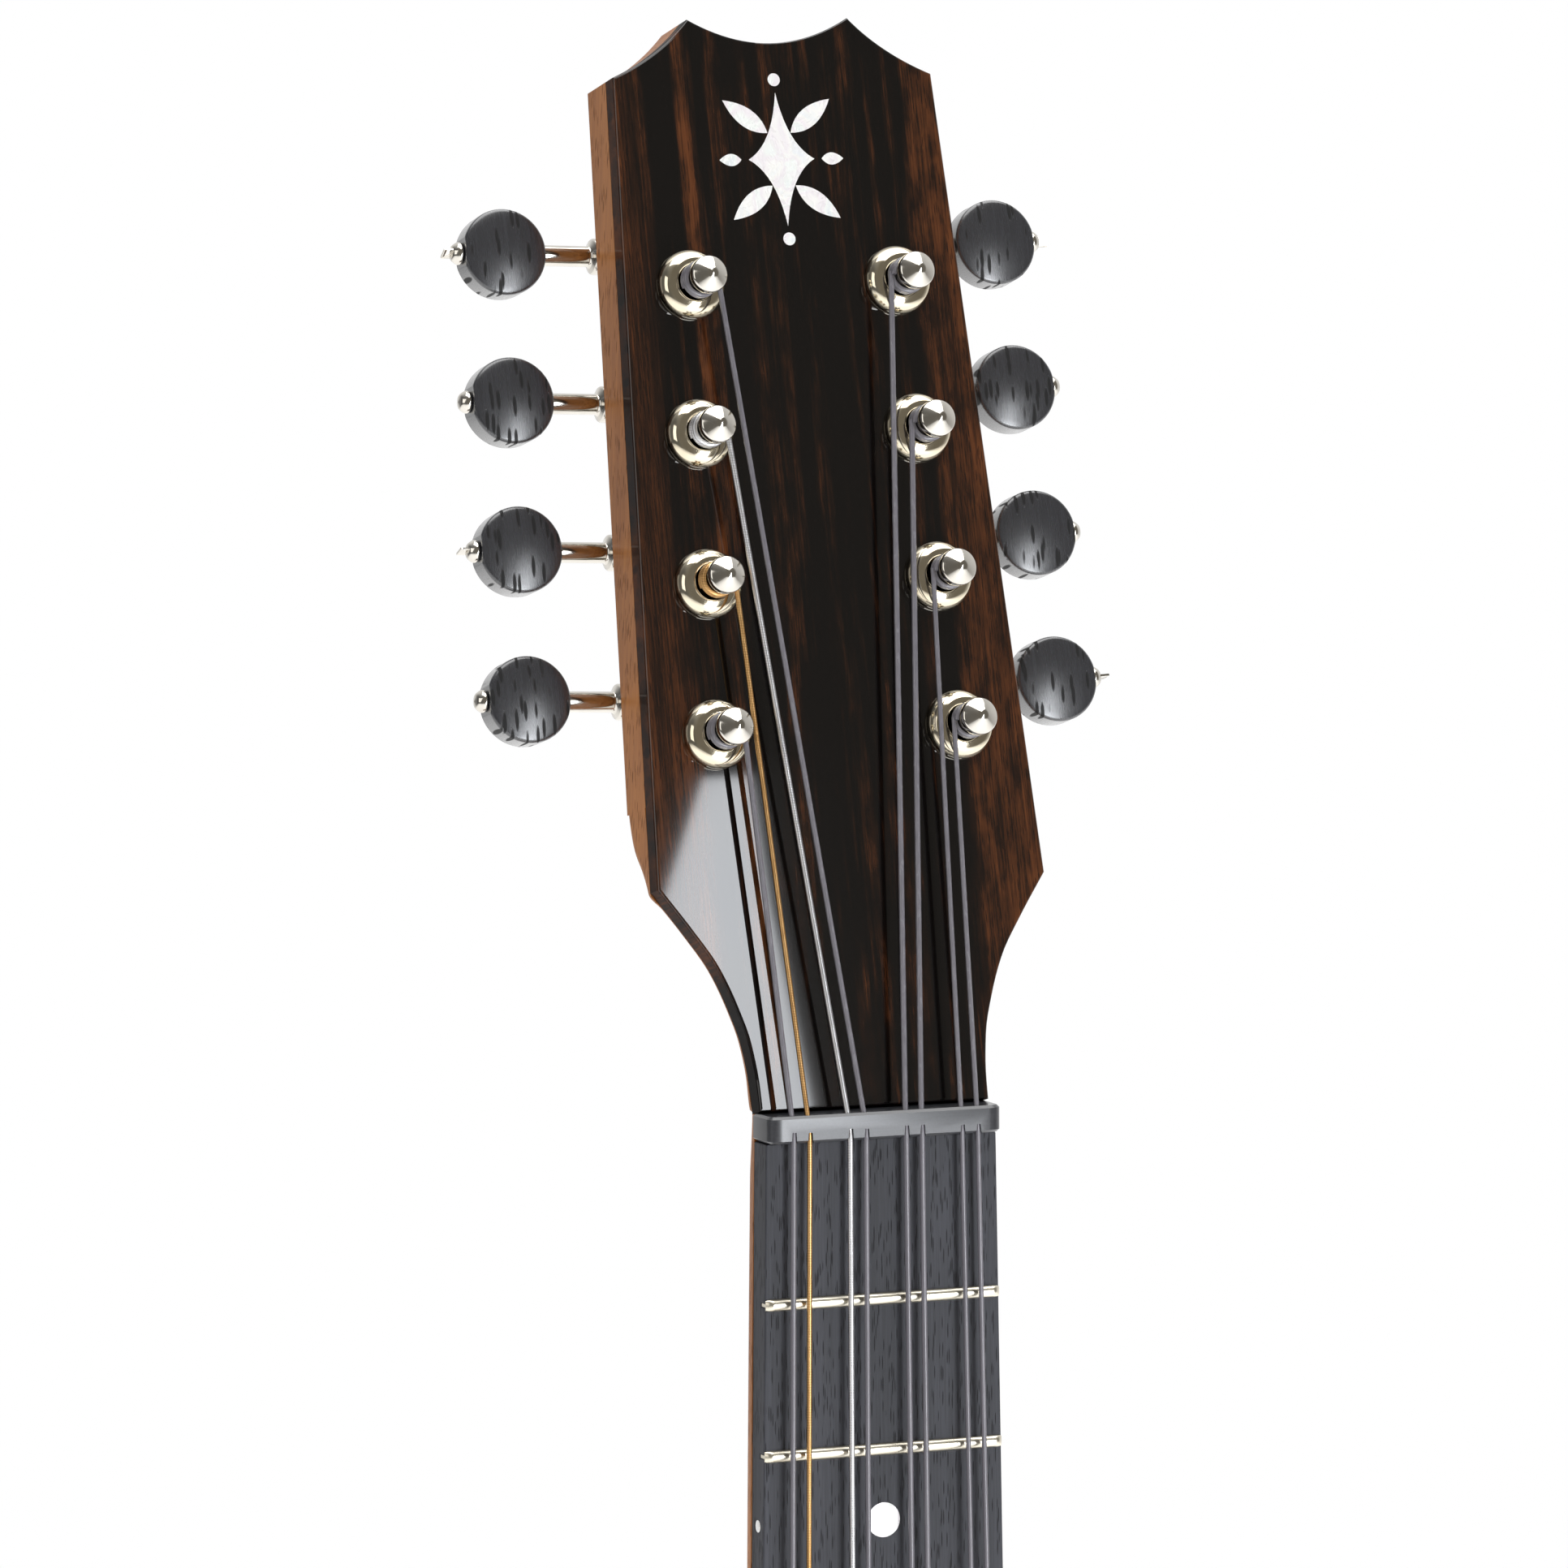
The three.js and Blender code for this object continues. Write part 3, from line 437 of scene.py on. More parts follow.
BOARD_BED = BOARD_THICK + GLUE
HEEL = BODY_TOP + 0.4
SHAFT = [
    (HEEL, 59.5, 2.2), (HEEL + 2.5, 52, 2.2), (HEEL + 6, 40, 2.2), (HEEL + 11, 29.5, 2.1),
    (HEEL + 18, 22.5, 1.95), (HEEL + 30, 18.6, 1.8), (-120, 17, 1.75), (-6, 15.6, 1.75),
]
NECK_STATIONS = [(board_half(z), BOARD_BED, z, depth, power, 0) for z, depth, power in SHAFT]
NECK_STATIONS += [
    (18.7, BOARD_BED, 0, 15.7, 1.65, HEAD_TILT * 0.35),
    (18.6, BOARD_BED, 4.4, 15.8, 1.6, HEAD_TILT * 0.55),
    (18.6, BOARD_BED + 1.2, 4.65, 14.6, 1.6, HEAD_TILT * 0.6),
]
HEAD_STATIONS = [
    (11, 13.6, 1.55, 0.85), (16, 12.2, 1.55, 1), (20.5, 11.2, 1.55, 1), (26.8, 9.9, 1.6, 1),
    (32.5, 9, 1.65, 1), (36.5, 8.5, 1.8, 1), (39, 8.3, 2.2, 1), (43, CORE_THICK, 4, 1),
    (48, CORE_THICK, 12, 1), (54, CORE_THICK, 26, 1),
]
for up, depth, power, share in HEAD_STATIONS:
    line = HEAD @ Vector((0, PLATE_THICK + GLUE, up))
    NECK_STATIONS.append((head_half(up), line.y, line.z, depth, power, HEAD_TILT * share))

neck_rings = []
heights = [station[2] for station in NECK_STATIONS]
for low, high in zip(heights, heights[1:]):
    count = 2 if high - low < 1 else 6
    for step in range(count):
        height = low + (high - low) * step / count
        values = [
            flowing([(station[2], station[i]) for station in NECK_STATIONS], height)
            for i in range(6)
        ]
        neck_rings.append(neck_section(*values))
neck_rings.append(neck_section(*NECK_STATIONS[-1]))

core_front = PLATE_THICK + GLUE
core_back = core_front + CORE_THICK
head_core = slab(head_outline(52), [], [(core_front, 0), (core_back - 0.5, 0), (core_back - 0.14, 0.14),
                                        (core_back, 0.5)])
tenon = block((-8, 16, BODY_TOP - 13), (8, 50, BODY_TOP + 2))
rod_groove = block((-3.1, 0, BODY_TOP + 7.7), (3.1, BOARD_BED + 8.3, -7.7))
wide, narrow = SLEEVE_R + BORE_ROOM, SHANK_R + BORE_ROOM
bore = turned([(0, 1), (wide, 1), (wide, -7.8), (narrow, -7.8), (narrow, -14), (0, -14)], 32)
bores = []
for side in SIDES.values():
    for row in ROWS:
        x, up = post_at(side, row)
        bores.append(solid(bore, HEAD @ Matrix.Translation((x, 0, up))))
neck_mesh = worked(
    solid(lofted(neck_rings)),
    ("UNION", solid(head_core, HEAD)),
    ("UNION", solid(tenon)),
    ("DIFFERENCE", solid(rod_groove)),
    ("DIFFERENCE", merged(bores)),
)
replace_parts(piece("neck_wood", neck_mesh, mahogany), "neck")


# ---------------------------------------------------------------- truss rod
# A two-way steel rod in a groove under the fingerboard keeps the neck straight against the strings.
# It is drawn bar, left as it comes from the mill.


def dress(names, material, ease=0.0):
    """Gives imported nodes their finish, with their sharp edges eased by some millimetres."""
    for name in names:
        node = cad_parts[name]
        node.data.materials.clear()
        node.data.materials.append(material)
        if "custom_normal" in node.data.attributes:
            node.data.attributes.remove(node.data.attributes["custom_normal"])
        node.data.shade_smooth()
        weld = node.modifiers.new("weld", "WELD")
        weld.merge_threshold = 1e-6
        if ease:
            edge = node.modifiers.new("eased edges", "BEVEL")
            edge.width = ease * MM
            edge.segments = 2
            edge.limit_method = "ANGLE"
            edge.angle_limit = math.radians(30)
            edge.harden_normals = True
        else:
            split = node.modifiers.new("creases", "EDGE_SPLIT")
            split.split_angle = math.radians(30)


steel, place = finish("steel", Metallic=1.0)
mill = place.clouds(0.2, 0.2, 30, detail=4)
feed(
    steel,
    Base_Color=mill.blend(colour(150, 150, 154), colour(205, 205, 208)),
    Roughness=0.28 + mill * 0.2,
    Normal=mill.relief(0.02, 0.4),
)
dress(["truss_rod"], steel)


# ---------------------------------------------------------------- headplate
# A sheet of striped ebony faces the head: nearly black, with brown streaks along the grain. It is
# glued on, cut to three scallops at the tip, and polished under clear gloss lacquer.

HEAD_FOOT = FROM_NUT @ Vector((0, PLATE_SET_BACK, 0))


def on_head(place):
    """A place turned with the head, so that grain follows the head's slope."""
    turn = {"Vector": place, "Center": tuple(HEAD_FOOT), "Angle": HEAD_TILT}
    return place.node("VectorRotate", {"rotation_type": "X_AXIS"}, turn)


striped_ebony, place = finish("striped_ebony", Coat_Roughness=0.025, Coat_IOR=1.52, Specular_IOR_Level=0.04)
place = on_head(place)
across = place.axis(0)
into = place.axis(1) - HEAD_FOOT.y
sway = (place.clouds(14, 40, 60, detail=3, roughness=0.6) - 0.5) * (9 * MM)
drift = across + sway
right_band = drift.eased(19.2 * MM, 24.5 * MM)
left_streak = 1 - abs(across + sway * 0.25 + 15.7 * MM).eased(0.3 * MM, 1.7 * MM)
left_edge = 1 - drift.eased(-25.5 * MM, -20 * MM)
fine = place.clouds(0.3, 8, 11, detail=5, roughness=0.7)
broad = place.clouds(2.6, 30, 70, detail=5, roughness=0.66, distortion=0.3)
patch = place.clouds(3.2, 20, 9, detail=3, roughness=0.6)
stripe = broad.eased(0.42, 0.66) * (0.15 + patch.eased(0.3, 0.75) * 0.6)
mottle = patch.eased(0.25, 0.8)
brown = (stripe * 0.95 + right_band * (0.25 + mottle * 0.6) + left_streak * (0.25 + mottle * 0.9)
         + left_edge * 0.4)
flecks = fine.eased(0.3, 0.75)
pore = place.pores(0.3, 4, 2.8, 0.4)
warm = (brown * (0.35 + flecks * 0.9)).eased(0.02, 1.15)
ebony_colour = warm.blend(colour(13, 9, 7), colour(92, 54, 31))
feed(
    striped_ebony,
    Base_Color=(pore * 0.6).blend(ebony_colour, colour(9, 7, 6)),
    Roughness=0.42 + fine * 0.2,
    Coat_Weight=1 - into.eased(0.1 * MM, 0.3 * MM) * 0.94,
    Normal=(fine - pore).relief(0.02, 0.3),
)

post_holes = [circle(*post_at(side, row), SLEEVE_R + BORE_ROOM) for side in SIDES.values() for row in ROWS]
plate = slab(head_outline(4.9), post_holes,
             [(0, 0.4), (0.05, 0.2), (0.15, 0.07), (0.36, 0), (PLATE_THICK, 0)])
head_veneer = piece("head_veneer", solid(plate, HEAD), striped_ebony, crease=10)
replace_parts(head_veneer, "headplate")

# The inlay in the head is a plain cut ornament of shell: a hollow-sided lozenge between four leaves
# and two dots. The pieces are sawn from flat shell, let into the ebony, and lie under the lacquer.

INLAY_UP = 150.3
pearl, place = finish("pearl", Coat_Weight=1.0, Coat_Roughness=0.03)
layers = place.clouds(5.5, 5.5, 7.5, detail=2, distortion=1.6)
flame = place.clouds(2.2, 2.2, 3.4, detail=2, distortion=2.4)
shell_colour = layers.node("ValToRGB", {"stops": [
    (0.25, colour(226, 231, 236)), (0.42, colour(246, 245, 241)), (0.52, colour(236, 229, 234)),
    (0.62, colour(243, 247, 243)), (0.78, colour(216, 224, 232)),
]}, {"Fac": layers})
feed(
    pearl,
    Base_Color=(flame * 0.3).blend(shell_colour, colour(250, 250, 246)),
    Roughness=0.2 + flame * 0.15,
    Metallic=0.08 + layers * 0.12,
    Normal=flame.relief(0.02, 0.12),
)


def bowed(corners, pull, steps=10):
    """A rim of bowed edges between corners, drawn towards or away from its middle."""
    middle = sum((Vector(corner) for corner in corners), Vector((0, 0))) / len(corners)
    rim = []
    for start, end in zip(corners, corners[1:] + corners[:1]):
        half_way = (Vector(start) + Vector(end)) / 2
        rim += arc(start, half_way.lerp(middle, pull), end, steps)
    return rim


def leaf(tail, tip, fat):
    """A pointed leaf from its tail to its tip."""
    tail, tip = Vector(tail), Vector(tip)
    along = tip - tail
    bulge = Vector((-along.y, along.x)).normalized() * fat
    belly = tail + along * 0.42
    return [*arc(tail, belly + bulge, tip, 14), *arc(tip, belly - bulge, tail, 14)]


inlay_rims = [bowed([(5.4, 0), (0, 10.4), (-5.4, 0), (0, -10.4)], 0.55)]
inlay_rims += [leaf((x * 1.9, y * 4.1), (x * 8.8, y * 9.3), 2.9) for x in (-1, 1) for y in (-1, 1)]
inlay_rims += [leaf((x * 6.6, 0), (x * 10.2, 0), 1.9) for x in (-1, 1)]
inlay_rims += [circle(0, y * 12.4, 1.0, 24) for y in (-1, 1)]
shells = []
for rim in inlay_rims:
    raised = [Vector((point.x, point.y + INLAY_UP)) for point in rim]
    shells.append(solid(slab(raised, [], [(-0.02, 0), (0.2, 0)]), HEAD))
piece("head_inlay", merged(shells), pearl)


# ---------------------------------------------------------------- fingerboard
# A tapered board of black ebony on top of the neck, sanded flat, oiled and left matte, so that its
# fine open pores show. The position dots are shell, let in flush; small ones mark the bass edge.

SCALE_LENGTH = 431.8


def fret_z(number):
    """A fret's place, down from the nut."""
    return -SCALE_LENGTH * (1 - 2 ** (-number / 12))


black_ebony, place = finish("black_ebony", Specular_IOR_Level=0.42)
grain = place.clouds(0.35, 0.35, 14, detail=5, roughness=0.7)
bands = place.clouds(4.5, 4.5, 90, detail=3)
pore = place.pores(0.26, 0.26, 3.4, 0.5)
board_tone = (grain * 0.5 + bands * 0.5).eased(0.3, 0.75)
feed(
    black_ebony,
    Base_Color=(pore * 0.8).blend(
        board_tone.blend(colour(38, 39, 44), colour(66, 67, 74)), colour(16, 16, 18)),
    Roughness=0.5 + grain * 0.14 + pore * 0.15,
    Normal=(grain * 0.3 - pore).relief(0.06, 0.55),
)
dress(["fingerboard"], black_ebony, 0.25)

DOTS = [(3, 0), (5, 0), (7, 0), (10, 0), (12, -7.2), (12, 7.2), (15, 0)]
for number, x in DOTS:
    z = (fret_z(number) + fret_z(number - 1)) / 2
    dot = slab(circle(x, z, 2.65), [], [(-0.03, 0.08), (0, 0), (1.2, 0)])
    name = f"position_dot_{number}" + ("" if x == 0 else "_bass" if x < 0 else "_treble")
    piece(name, solid(dot), pearl)
for number, x in DOTS:
    if x > 0:
        continue
    z = (fret_z(number) + fret_z(number - 1)) / 2
    for shift in ((-2.6, 2.6) if number == 12 else (0,)):
        dot = turned([(0, 0.03), (0.85, 0.03), (0.95, 0), (0.95, -1.2), (0, -1.2)], 24, Vector((-1, 0, 0)))
        spot = Matrix.Translation((-board_half(z + shift), 2.3, z + shift))
        tag = "" if shift == 0 else "_low" if shift < 0 else "_high"
        piece(f"side_dot_{number}{tag}", solid(dot, spot), pearl)


# ---------------------------------------------------------------- frets
# Nineteen frets of drawn nickel-silver wire: a low crown on a tang that is pressed into its slot.
# Their ends are filed flush with the board and bevelled back, and the crowns are polished.

FRETS = 19
CROWN_HALF, CROWN_TALL = 0.95, 0.9


def bright_metal(name, pale, light, patch, rub, gloss, relief):
    """Polished metal: a faint haze in patches and fine rub marks. Gloss is (least, haze, marks)."""
    material, place = finish(name, Metallic=1.0)
    haze = place.clouds(*patch, detail=3)
    scuff = place.clouds(*rub, detail=4, roughness=0.7)
    least, hazed, scuffed = gloss
    feed(
        material,
        Base_Color=haze.blend(pale, light),
        Roughness=least + haze * hazed + scuff * scuffed,
        Normal=scuff.relief(*relief),
    )
    return material


nickel = bright_metal("nickel", colour(198, 193, 184), colour(218, 214, 206), (2.6, 2.6, 3.4),
                      (0.12, 0.12, 1.6), (0.05, 0.05, 0.06), (0.004, 0.25))
fret_wire = bright_metal("fret_wire", colour(216, 208, 188), colour(236, 230, 214), (3.0, 3.0, 3.0),
                         (0.9, 0.2, 0.2), (0.2, 0.08, 0.1), (0.004, 0.25))


def fret_section(x, z, tall, width):
    """The wire's section at a place along the fret."""
    ring = [Vector((x, -tall * math.sin(math.pi * i / 12), z + width * math.cos(math.pi * i / 12)))
            for i in range(13)]
    ring += [Vector((x, y, z + side * 0.25)) for y, side in ((0.05, -1), (1.4, -1), (1.4, 1), (0.05, 1))]
    return ring


for number in range(1, FRETS + 1):
    z = fret_z(number)
    end = board_half(z) - 0.05
    stations = [(end, 0.22, 0.8), (end - 0.35, 0.6, 0.93), (end - 0.8, 0.96, 1), (end - 1.2, 1, 1)]
    rings = [fret_section(-x, z, CROWN_TALL * tall, CROWN_HALF * wide) for x, tall, wide in stations]
    rings += [fret_section(x, z, CROWN_TALL * tall, CROWN_HALF * wide) for x, tall, wide in stations[::-1]]
    piece(f"fret_{number}", solid(lofted(rings)), fret_wire, crease=40)


# ---------------------------------------------------------------- nut
# A bar of dense black composite between the headplate and the fingerboard. It is filed with eight
# slots in four pairs, rounded at both ends and rubbed to a soft sheen.

nut_black, place = finish("nut_black", Coat_Weight=0.7, Coat_Roughness=0.2)
rub = place.clouds(6, 0.4, 0.4, detail=4, roughness=0.65)
speck = place.clouds(0.25, 0.25, 0.25, detail=2)
feed(
    nut_black,
    Base_Color=(rub * 0.6 + speck * 0.4).blend(colour(30, 31, 34), colour(66, 67, 72)),
    Roughness=0.26 + rub * 0.14,
    Normal=(rub + speck * 0.4).relief(0.008, 0.25),
)
dress(["nut"], nut_black)


# ---------------------------------------------------------------- body
# A slim figure-eight box. The bent sides and the flat back are striped dark wood, and the front is
# spruce. Kerfed linings, end blocks and braces hold it together inside.

BODY_LONG = 305
BODY_HEEL_DEEP, BODY_TAIL_DEEP = 60, 75
BACK_THICK = 2.2
BOARD_FACE = BOARD_THICK + GLUE
BOARD_UNDER = BOARD_FACE + 2
BODY_TAIL = BODY_TOP - BODY_LONG
HALF_BODY = [
    (0, 0), (26, -0.5), (54, -7), (74, -24), (83, -52), (79, -82), (69, -106), (65, -125), (71, -147),
    (87, -169), (104, -193), (113.5, -219), (113, -245), (102, -272), (77, -293), (42, -303), (0, -305),
]
SOUNDHOLE_Z = BODY_TOP - 92
SOUNDHOLE_R = 31


def through(points, steps):
    """A smooth line through points, even where they stand unevenly."""
    points = [Vector(point) for point in points]
    whole = [2 * points[0] - points[1], *points, 2 * points[-1] - points[-2]]
    line = []
    for p0, p1, p2, p3 in zip(whole, whole[1:], whole[2:], whole[3:]):
        d0, d1, d2 = ((b - a).length ** 0.5 for a, b in ((p0, p1), (p1, p2), (p2, p3)))
        t1 = ((p1 - p0) / d0 - (p2 - p0) / (d0 + d1) + (p2 - p1) / d1) * d1
        t2 = ((p2 - p1) / d1 - (p3 - p1) / (d1 + d2) + (p3 - p2) / d2) * d1
        for step in range(steps):
            t = step / steps
            line.append(p1 * (2 * t ** 3 - 3 * t * t + 1) + t1 * (t ** 3 - 2 * t * t + t)
                        + p2 * (3 * t * t - 2 * t ** 3) + t2 * (t ** 3 - t * t))
    return [*line, points[-1]]


body_right = through([(x, BODY_TOP + z) for x, z in HALF_BODY], 9)
body_rim = body_right + [Vector((-point.x, point.y)) for point in reversed(body_right[1:-1])]
body_rim = body_rim[::-1]


def back_inner(z):
    """The depth of the back's inner face: the body is deeper at its tail."""
    deeper = (BODY_TAIL_DEEP - BODY_HEEL_DEEP) * (BODY_TOP - z) / BODY_LONG
    return BOARD_FACE + BODY_HEEL_DEEP + deeper - BACK_THICK


def before_back(depth):
    """The face this far in front of the back's inner face, as a depth for each height."""
    return lambda z: back_inner(z) - depth


spruce, place = finish("spruce", Coat_Weight=0.5, Coat_Roughness=0.16)
wander = (place.clouds(30, 30, 180, detail=2) - 0.5) * 1.6
lines = place.axis(0) * (1 / (1.15 * MM)) + wander
ring = lines.maths("FRACT", lines)
late = ring.eased(0.55, 0.97) * (1 - ring.eased(0.97, 1.0))
fibre = place.clouds(0.22, 0.22, 22, detail=5, roughness=0.7)
silk = place.clouds(5, 5, 1.3, detail=3).eased(0.5, 0.72)
warmth = place.clouds(38, 38, 160, detail=2)
front_colour = (warmth * 0.6 + fibre * 0.4).blend(colour(178, 134, 84), colour(202, 162, 110))
feed(
    spruce,
    Base_Color=(late * 0.6 + silk * 0.12).blend(front_colour, colour(132, 86, 46)),
    Roughness=0.34 + fibre * 0.15,
    Normal=(fibre * 0.5 - late * 0.5).relief(0.03, 0.35),
)
BINDING = 1.7
hole_rim = circle(0, SOUNDHOLE_Z, SOUNDHOLE_R, 96)
front = slab(moved_in(body_rim, BINDING - 0.1), [hole_rim],
             [(BOARD_FACE, 0.25), (BOARD_FACE + 0.25, 0), (BOARD_UNDER, 0)])
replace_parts(piece("front_board", solid(front), spruce), "soundboard")


def striped_wood(name, across, deep, along):
    """Glossy striped dark wood. The three sizes stretch its grain, in millimetres."""
    material, place = finish(name, Coat_Weight=0.5, Coat_Roughness=0.17, Specular_IOR_Level=0.15)
    wavy = place.clouds(across * 10, deep * 10, along * 0.8, detail=3, distortion=0.5)
    stripes = place.clouds(across, deep, along, detail=5, roughness=0.66, distortion=0.25)
    thin = place.clouds(across * 0.15, deep * 0.15, along * 0.16, detail=4, roughness=0.7)
    pore = place.pores(across * 0.13, deep * 0.13, along * 0.017, 0.45)
    figure = (stripes * 0.75 + wavy * 0.45 + thin * 0.2).eased(0.48, 0.86)
    wood_colour = figure.blend(colour(27, 18, 13), colour(98, 61, 37))
    feed(
        material,
        Base_Color=(pore * 0.55).blend(wood_colour, colour(14, 10, 8)),
        Roughness=0.4 + thin * 0.18,
        Normal=(thin * 0.4 - pore).relief(0.04, 0.4),
    )
    return material


body_ebony = striped_wood("body_ebony", 2.6, 2.6, 210)
side_ebony = striped_wood("side_ebony", 90, 2.6, 90)
inner_rim = moved_in(body_rim, 2)
ribs = slab(body_rim, [inner_rim], [(BOARD_UNDER + GLUE, 0), (before_back(GLUE), 0)])
tenon_window = block((-8.3, 15.7, BODY_TOP - 10), (8.3, 50.3, BODY_TOP + 5))
rib_mesh = worked(solid(ribs), ("DIFFERENCE", solid(tenon_window)))
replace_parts(piece("bent_sides", rib_mesh, side_ebony), "sides")
back = slab(moved_in(body_rim, BINDING - 0.1), [],
            [(back_inner, 0), (before_back(0.25 - BACK_THICK), 0), (before_back(-BACK_THICK), 0.25)])
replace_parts(piece("back_board", solid(back), body_ebony), "back")

# Black plastic binding covers the seam round the front and the back. A line of pale maple lies
# inside it on the front. The binding is glued in a rebate, scraped flush and buffed.

binding_black, place = finish("binding_black", Coat_Weight=0.6, Coat_Roughness=0.1)
buff = place.clouds(1.8, 1.8, 1.8, detail=4)
feed(
    binding_black,
    Base_Color=buff.blend(colour(20, 19, 19), colour(40, 38, 38)),
    Roughness=0.24 + buff * 0.16,
    Normal=buff.relief(0.01, 0.3),
)
PROUD = 0.06
outer_rim = moved_in(body_rim, -PROUD)
binding_inner = moved_in(body_rim, BINDING)
front_binding = slab(outer_rim, [binding_inner],
                     [(BOARD_FACE - PROUD, 0.3), (BOARD_FACE, 0.1), (BOARD_FACE + 0.3, 0),
                      (BOARD_FACE + 4.6, 0)])
piece("front_binding", solid(front_binding), binding_black)
back_binding = slab(outer_rim, [binding_inner], [
    (before_back(2.4), 0), (before_back(0.3 - BACK_THICK), 0), (before_back(-BACK_THICK), 0.1),
    (before_back(-BACK_THICK - PROUD), 0.3),
])
piece("back_binding", solid(back_binding), binding_black)

maple_line, place = finish("maple_line", Roughness=0.35, Coat_Weight=0.5, Coat_Roughness=0.15)
fleck = place.clouds(0.5, 0.5, 3, detail=3)
feed(maple_line, Base_Color=fleck.blend(colour(222, 202, 164), colour(240, 226, 196)),
     Normal=fleck.relief(0.01, 0.3))
purfling = slab(moved_in(body_rim, BINDING), [moved_in(body_rim, BINDING + 0.6)],
                [(BOARD_FACE - 0.03, 0), (BOARD_FACE + 0.5, 0)])
piece("front_purfling", solid(purfling), maple_line)

# The rosette round the soundhole is a band of the striped wood between two pale lines, let into the
# front and levelled with it.

for name, inner, outer, material, slot_name in (
    ("rosette_inner_line", 35.2, 35.9, maple_line, "bone"),
    ("rosette_band", 35.9, 40.3, body_ebony, "striped_ebony"),
    ("rosette_outer_line", 40.3, 41.0, maple_line, "bone"),
):
    band = slab(circle(0, SOUNDHOLE_Z, outer, 128), [circle(0, SOUNDHOLE_Z, inner, 128)],
                [(BOARD_FACE - 0.03, 0), (BOARD_FACE + 0.6, 0)])
    piece(name, solid(band), material)

# A strip of the binding's black covers the seam where the sides meet at the tail.

strip_top, strip_back = BOARD_FACE + 4.5, before_back(2.3)(BODY_TAIL)
end_strip = slab([Vector((-4, BODY_TAIL - 0.05)), Vector((4, BODY_TAIL - 0.05)),
                  Vector((4, BODY_TAIL + 0.8)), Vector((-4, BODY_TAIL + 0.8))], [],
                 [(strip_top, 0), (strip_back, 0)])
piece("end_strip", solid(end_strip), binding_black)

lining_wood, place = finish("lining_wood", Specular_IOR_Level=0.3)
saw = place.clouds(0.5, 0.5, 9, detail=4, roughness=0.65)
fuzz = place.clouds(0.2, 0.2, 0.9, detail=2)
feed(
    lining_wood,
    Base_Color=saw.blend(colour(168, 120, 76), colour(204, 160, 112)),
    Roughness=0.7 + fuzz * 0.2,
    Normal=(saw + fuzz * 0.5).relief(0.06, 0.5),
)
dress(["top_lining", "back_lining", "top_bracing", "bridge_plate", "back_brace_1", "back_brace_2"],
      lining_wood)
dress(["neck_block", "tail_block"], mahogany)


# ---------------------------------------------------------------- bridge and saddle
# The bridge is carved from black ebony with two thin wings and a raised tie block, and glued to the
# front. The saddle is a strip of bone, standing in its slot and rounded on top.

dress(["bridge"], black_ebony, 0.35)

bone, place = finish("bone", Subsurface_Weight=0.08, Coat_Weight=0.2, Coat_Roughness=0.2)
cloud = place.clouds(3, 3, 3, detail=3)
tubule = place.clouds(1.8, 0.14, 0.14, detail=2).eased(0.62, 0.75)
feed(
    bone,
    Base_Color=(tubule * 0.3).blend(cloud.blend(colour(226, 216, 190), colour(244, 238, 220)),
                                    colour(196, 178, 140)),
    Roughness=0.3 + cloud * 0.15,
    Normal=(cloud - tubule * 0.5).relief(0.015, 0.3),
)
dress(["saddle"], bone, 0.15)


# ---------------------------------------------------------------- tuner plates
# Each side has one stamped plate of nickelled brass behind the head, with four pairs of ears bent
# up to hold the worm shafts. Small domed screws hold it to the wood.

dress(["tuner_plate_left", "tuner_plate_right"], nickel, 0.12)

PLATE_BACK = PLATE_THICK + GLUE + CORE_THICK + GLUE + 1.1
tuner_row = {}
for word, side in SIDES.items():
    x, up = post_at(side, 0)
    turn = Matrix.Rotation(-side * SPLAY, 4, "Y")
    tuner_row[word] = HEAD @ Matrix.Translation((x, 0, up)) @ turn


def eased_profile(corners, radius, steps=4):
    """A profile with its inner corners rounded."""
    corners = [Vector(corner) for corner in corners]
    points = [corners[0]]
    for before, corner, after in zip(corners, corners[1:], corners[2:]):
        back, ahead = before - corner, after - corner
        reach = min(radius, back.length * 0.48, ahead.length * 0.48)
        start, end = corner + back.normalized() * reach, corner + ahead.normalized() * reach
        points += [start, *arc(start, corner, end, steps)]
    return [*points, corners[-1]]


SCREW_PLACES = [-6.9, 13.9, 36.9, 59.9, 79.6]
screw_body = turned(eased_profile([(0, 0.95), (0.9, 0.85), (1.45, 0.2), (1.5, 0), (0.7, -0.02), (0.7, -6),
                                   (0, -7)], 0.4), 32, Vector((0, 1, 0)))
slot_cut = block((-2, 0.5, -0.17), (2, 1.2, 0.17))
for word in SIDES:
    for number, z in enumerate(SCREW_PLACES, 1):
        spot = tuner_row[word] @ Matrix.Translation((0, PLATE_BACK + 0.01, z))
        spot = spot @ Matrix.Rotation(0.7 * number, 4, "Y")
        screw = worked(solid(screw_body, spot), ("DIFFERENCE", solid(slot_cut, spot)))
        piece(f"plate_screw_{word}_{number}", screw, nickel)


# ---------------------------------------------------------------- bushings and posts
# A domed bushing is pressed into the head round each post. The post is turned in one with its
# waist and conical cap, and a sixteen-toothed gear is fixed to its back end.

AXIS = 16.8  # the worm shafts' depth behind the head's face
WORM_OFFSET = 7.8
TEETH = 16
WAIST_R = 2.0

bushing_profile = eased_profile([
    (2.75, -7.5), (4.0, -7.5), (4.0, 0.05), (5.3, 0.05), (5.35, 1.0), (4.75, 1.95), (3.9, 2.45),
    (3.0, 2.6), (2.75, 2.35), (2.75, -7.5),
], 0.8, 6)
bushing_shape = turned(bushing_profile, 64)
bushing_nickel = bright_metal("bushing_nickel", colour(212, 200, 174), colour(232, 223, 202),
                              (2.2, 2.2, 2.2), (0.15, 0.15, 1.2), (0.04, 0.05, 0.05), (0.003, 0.2))

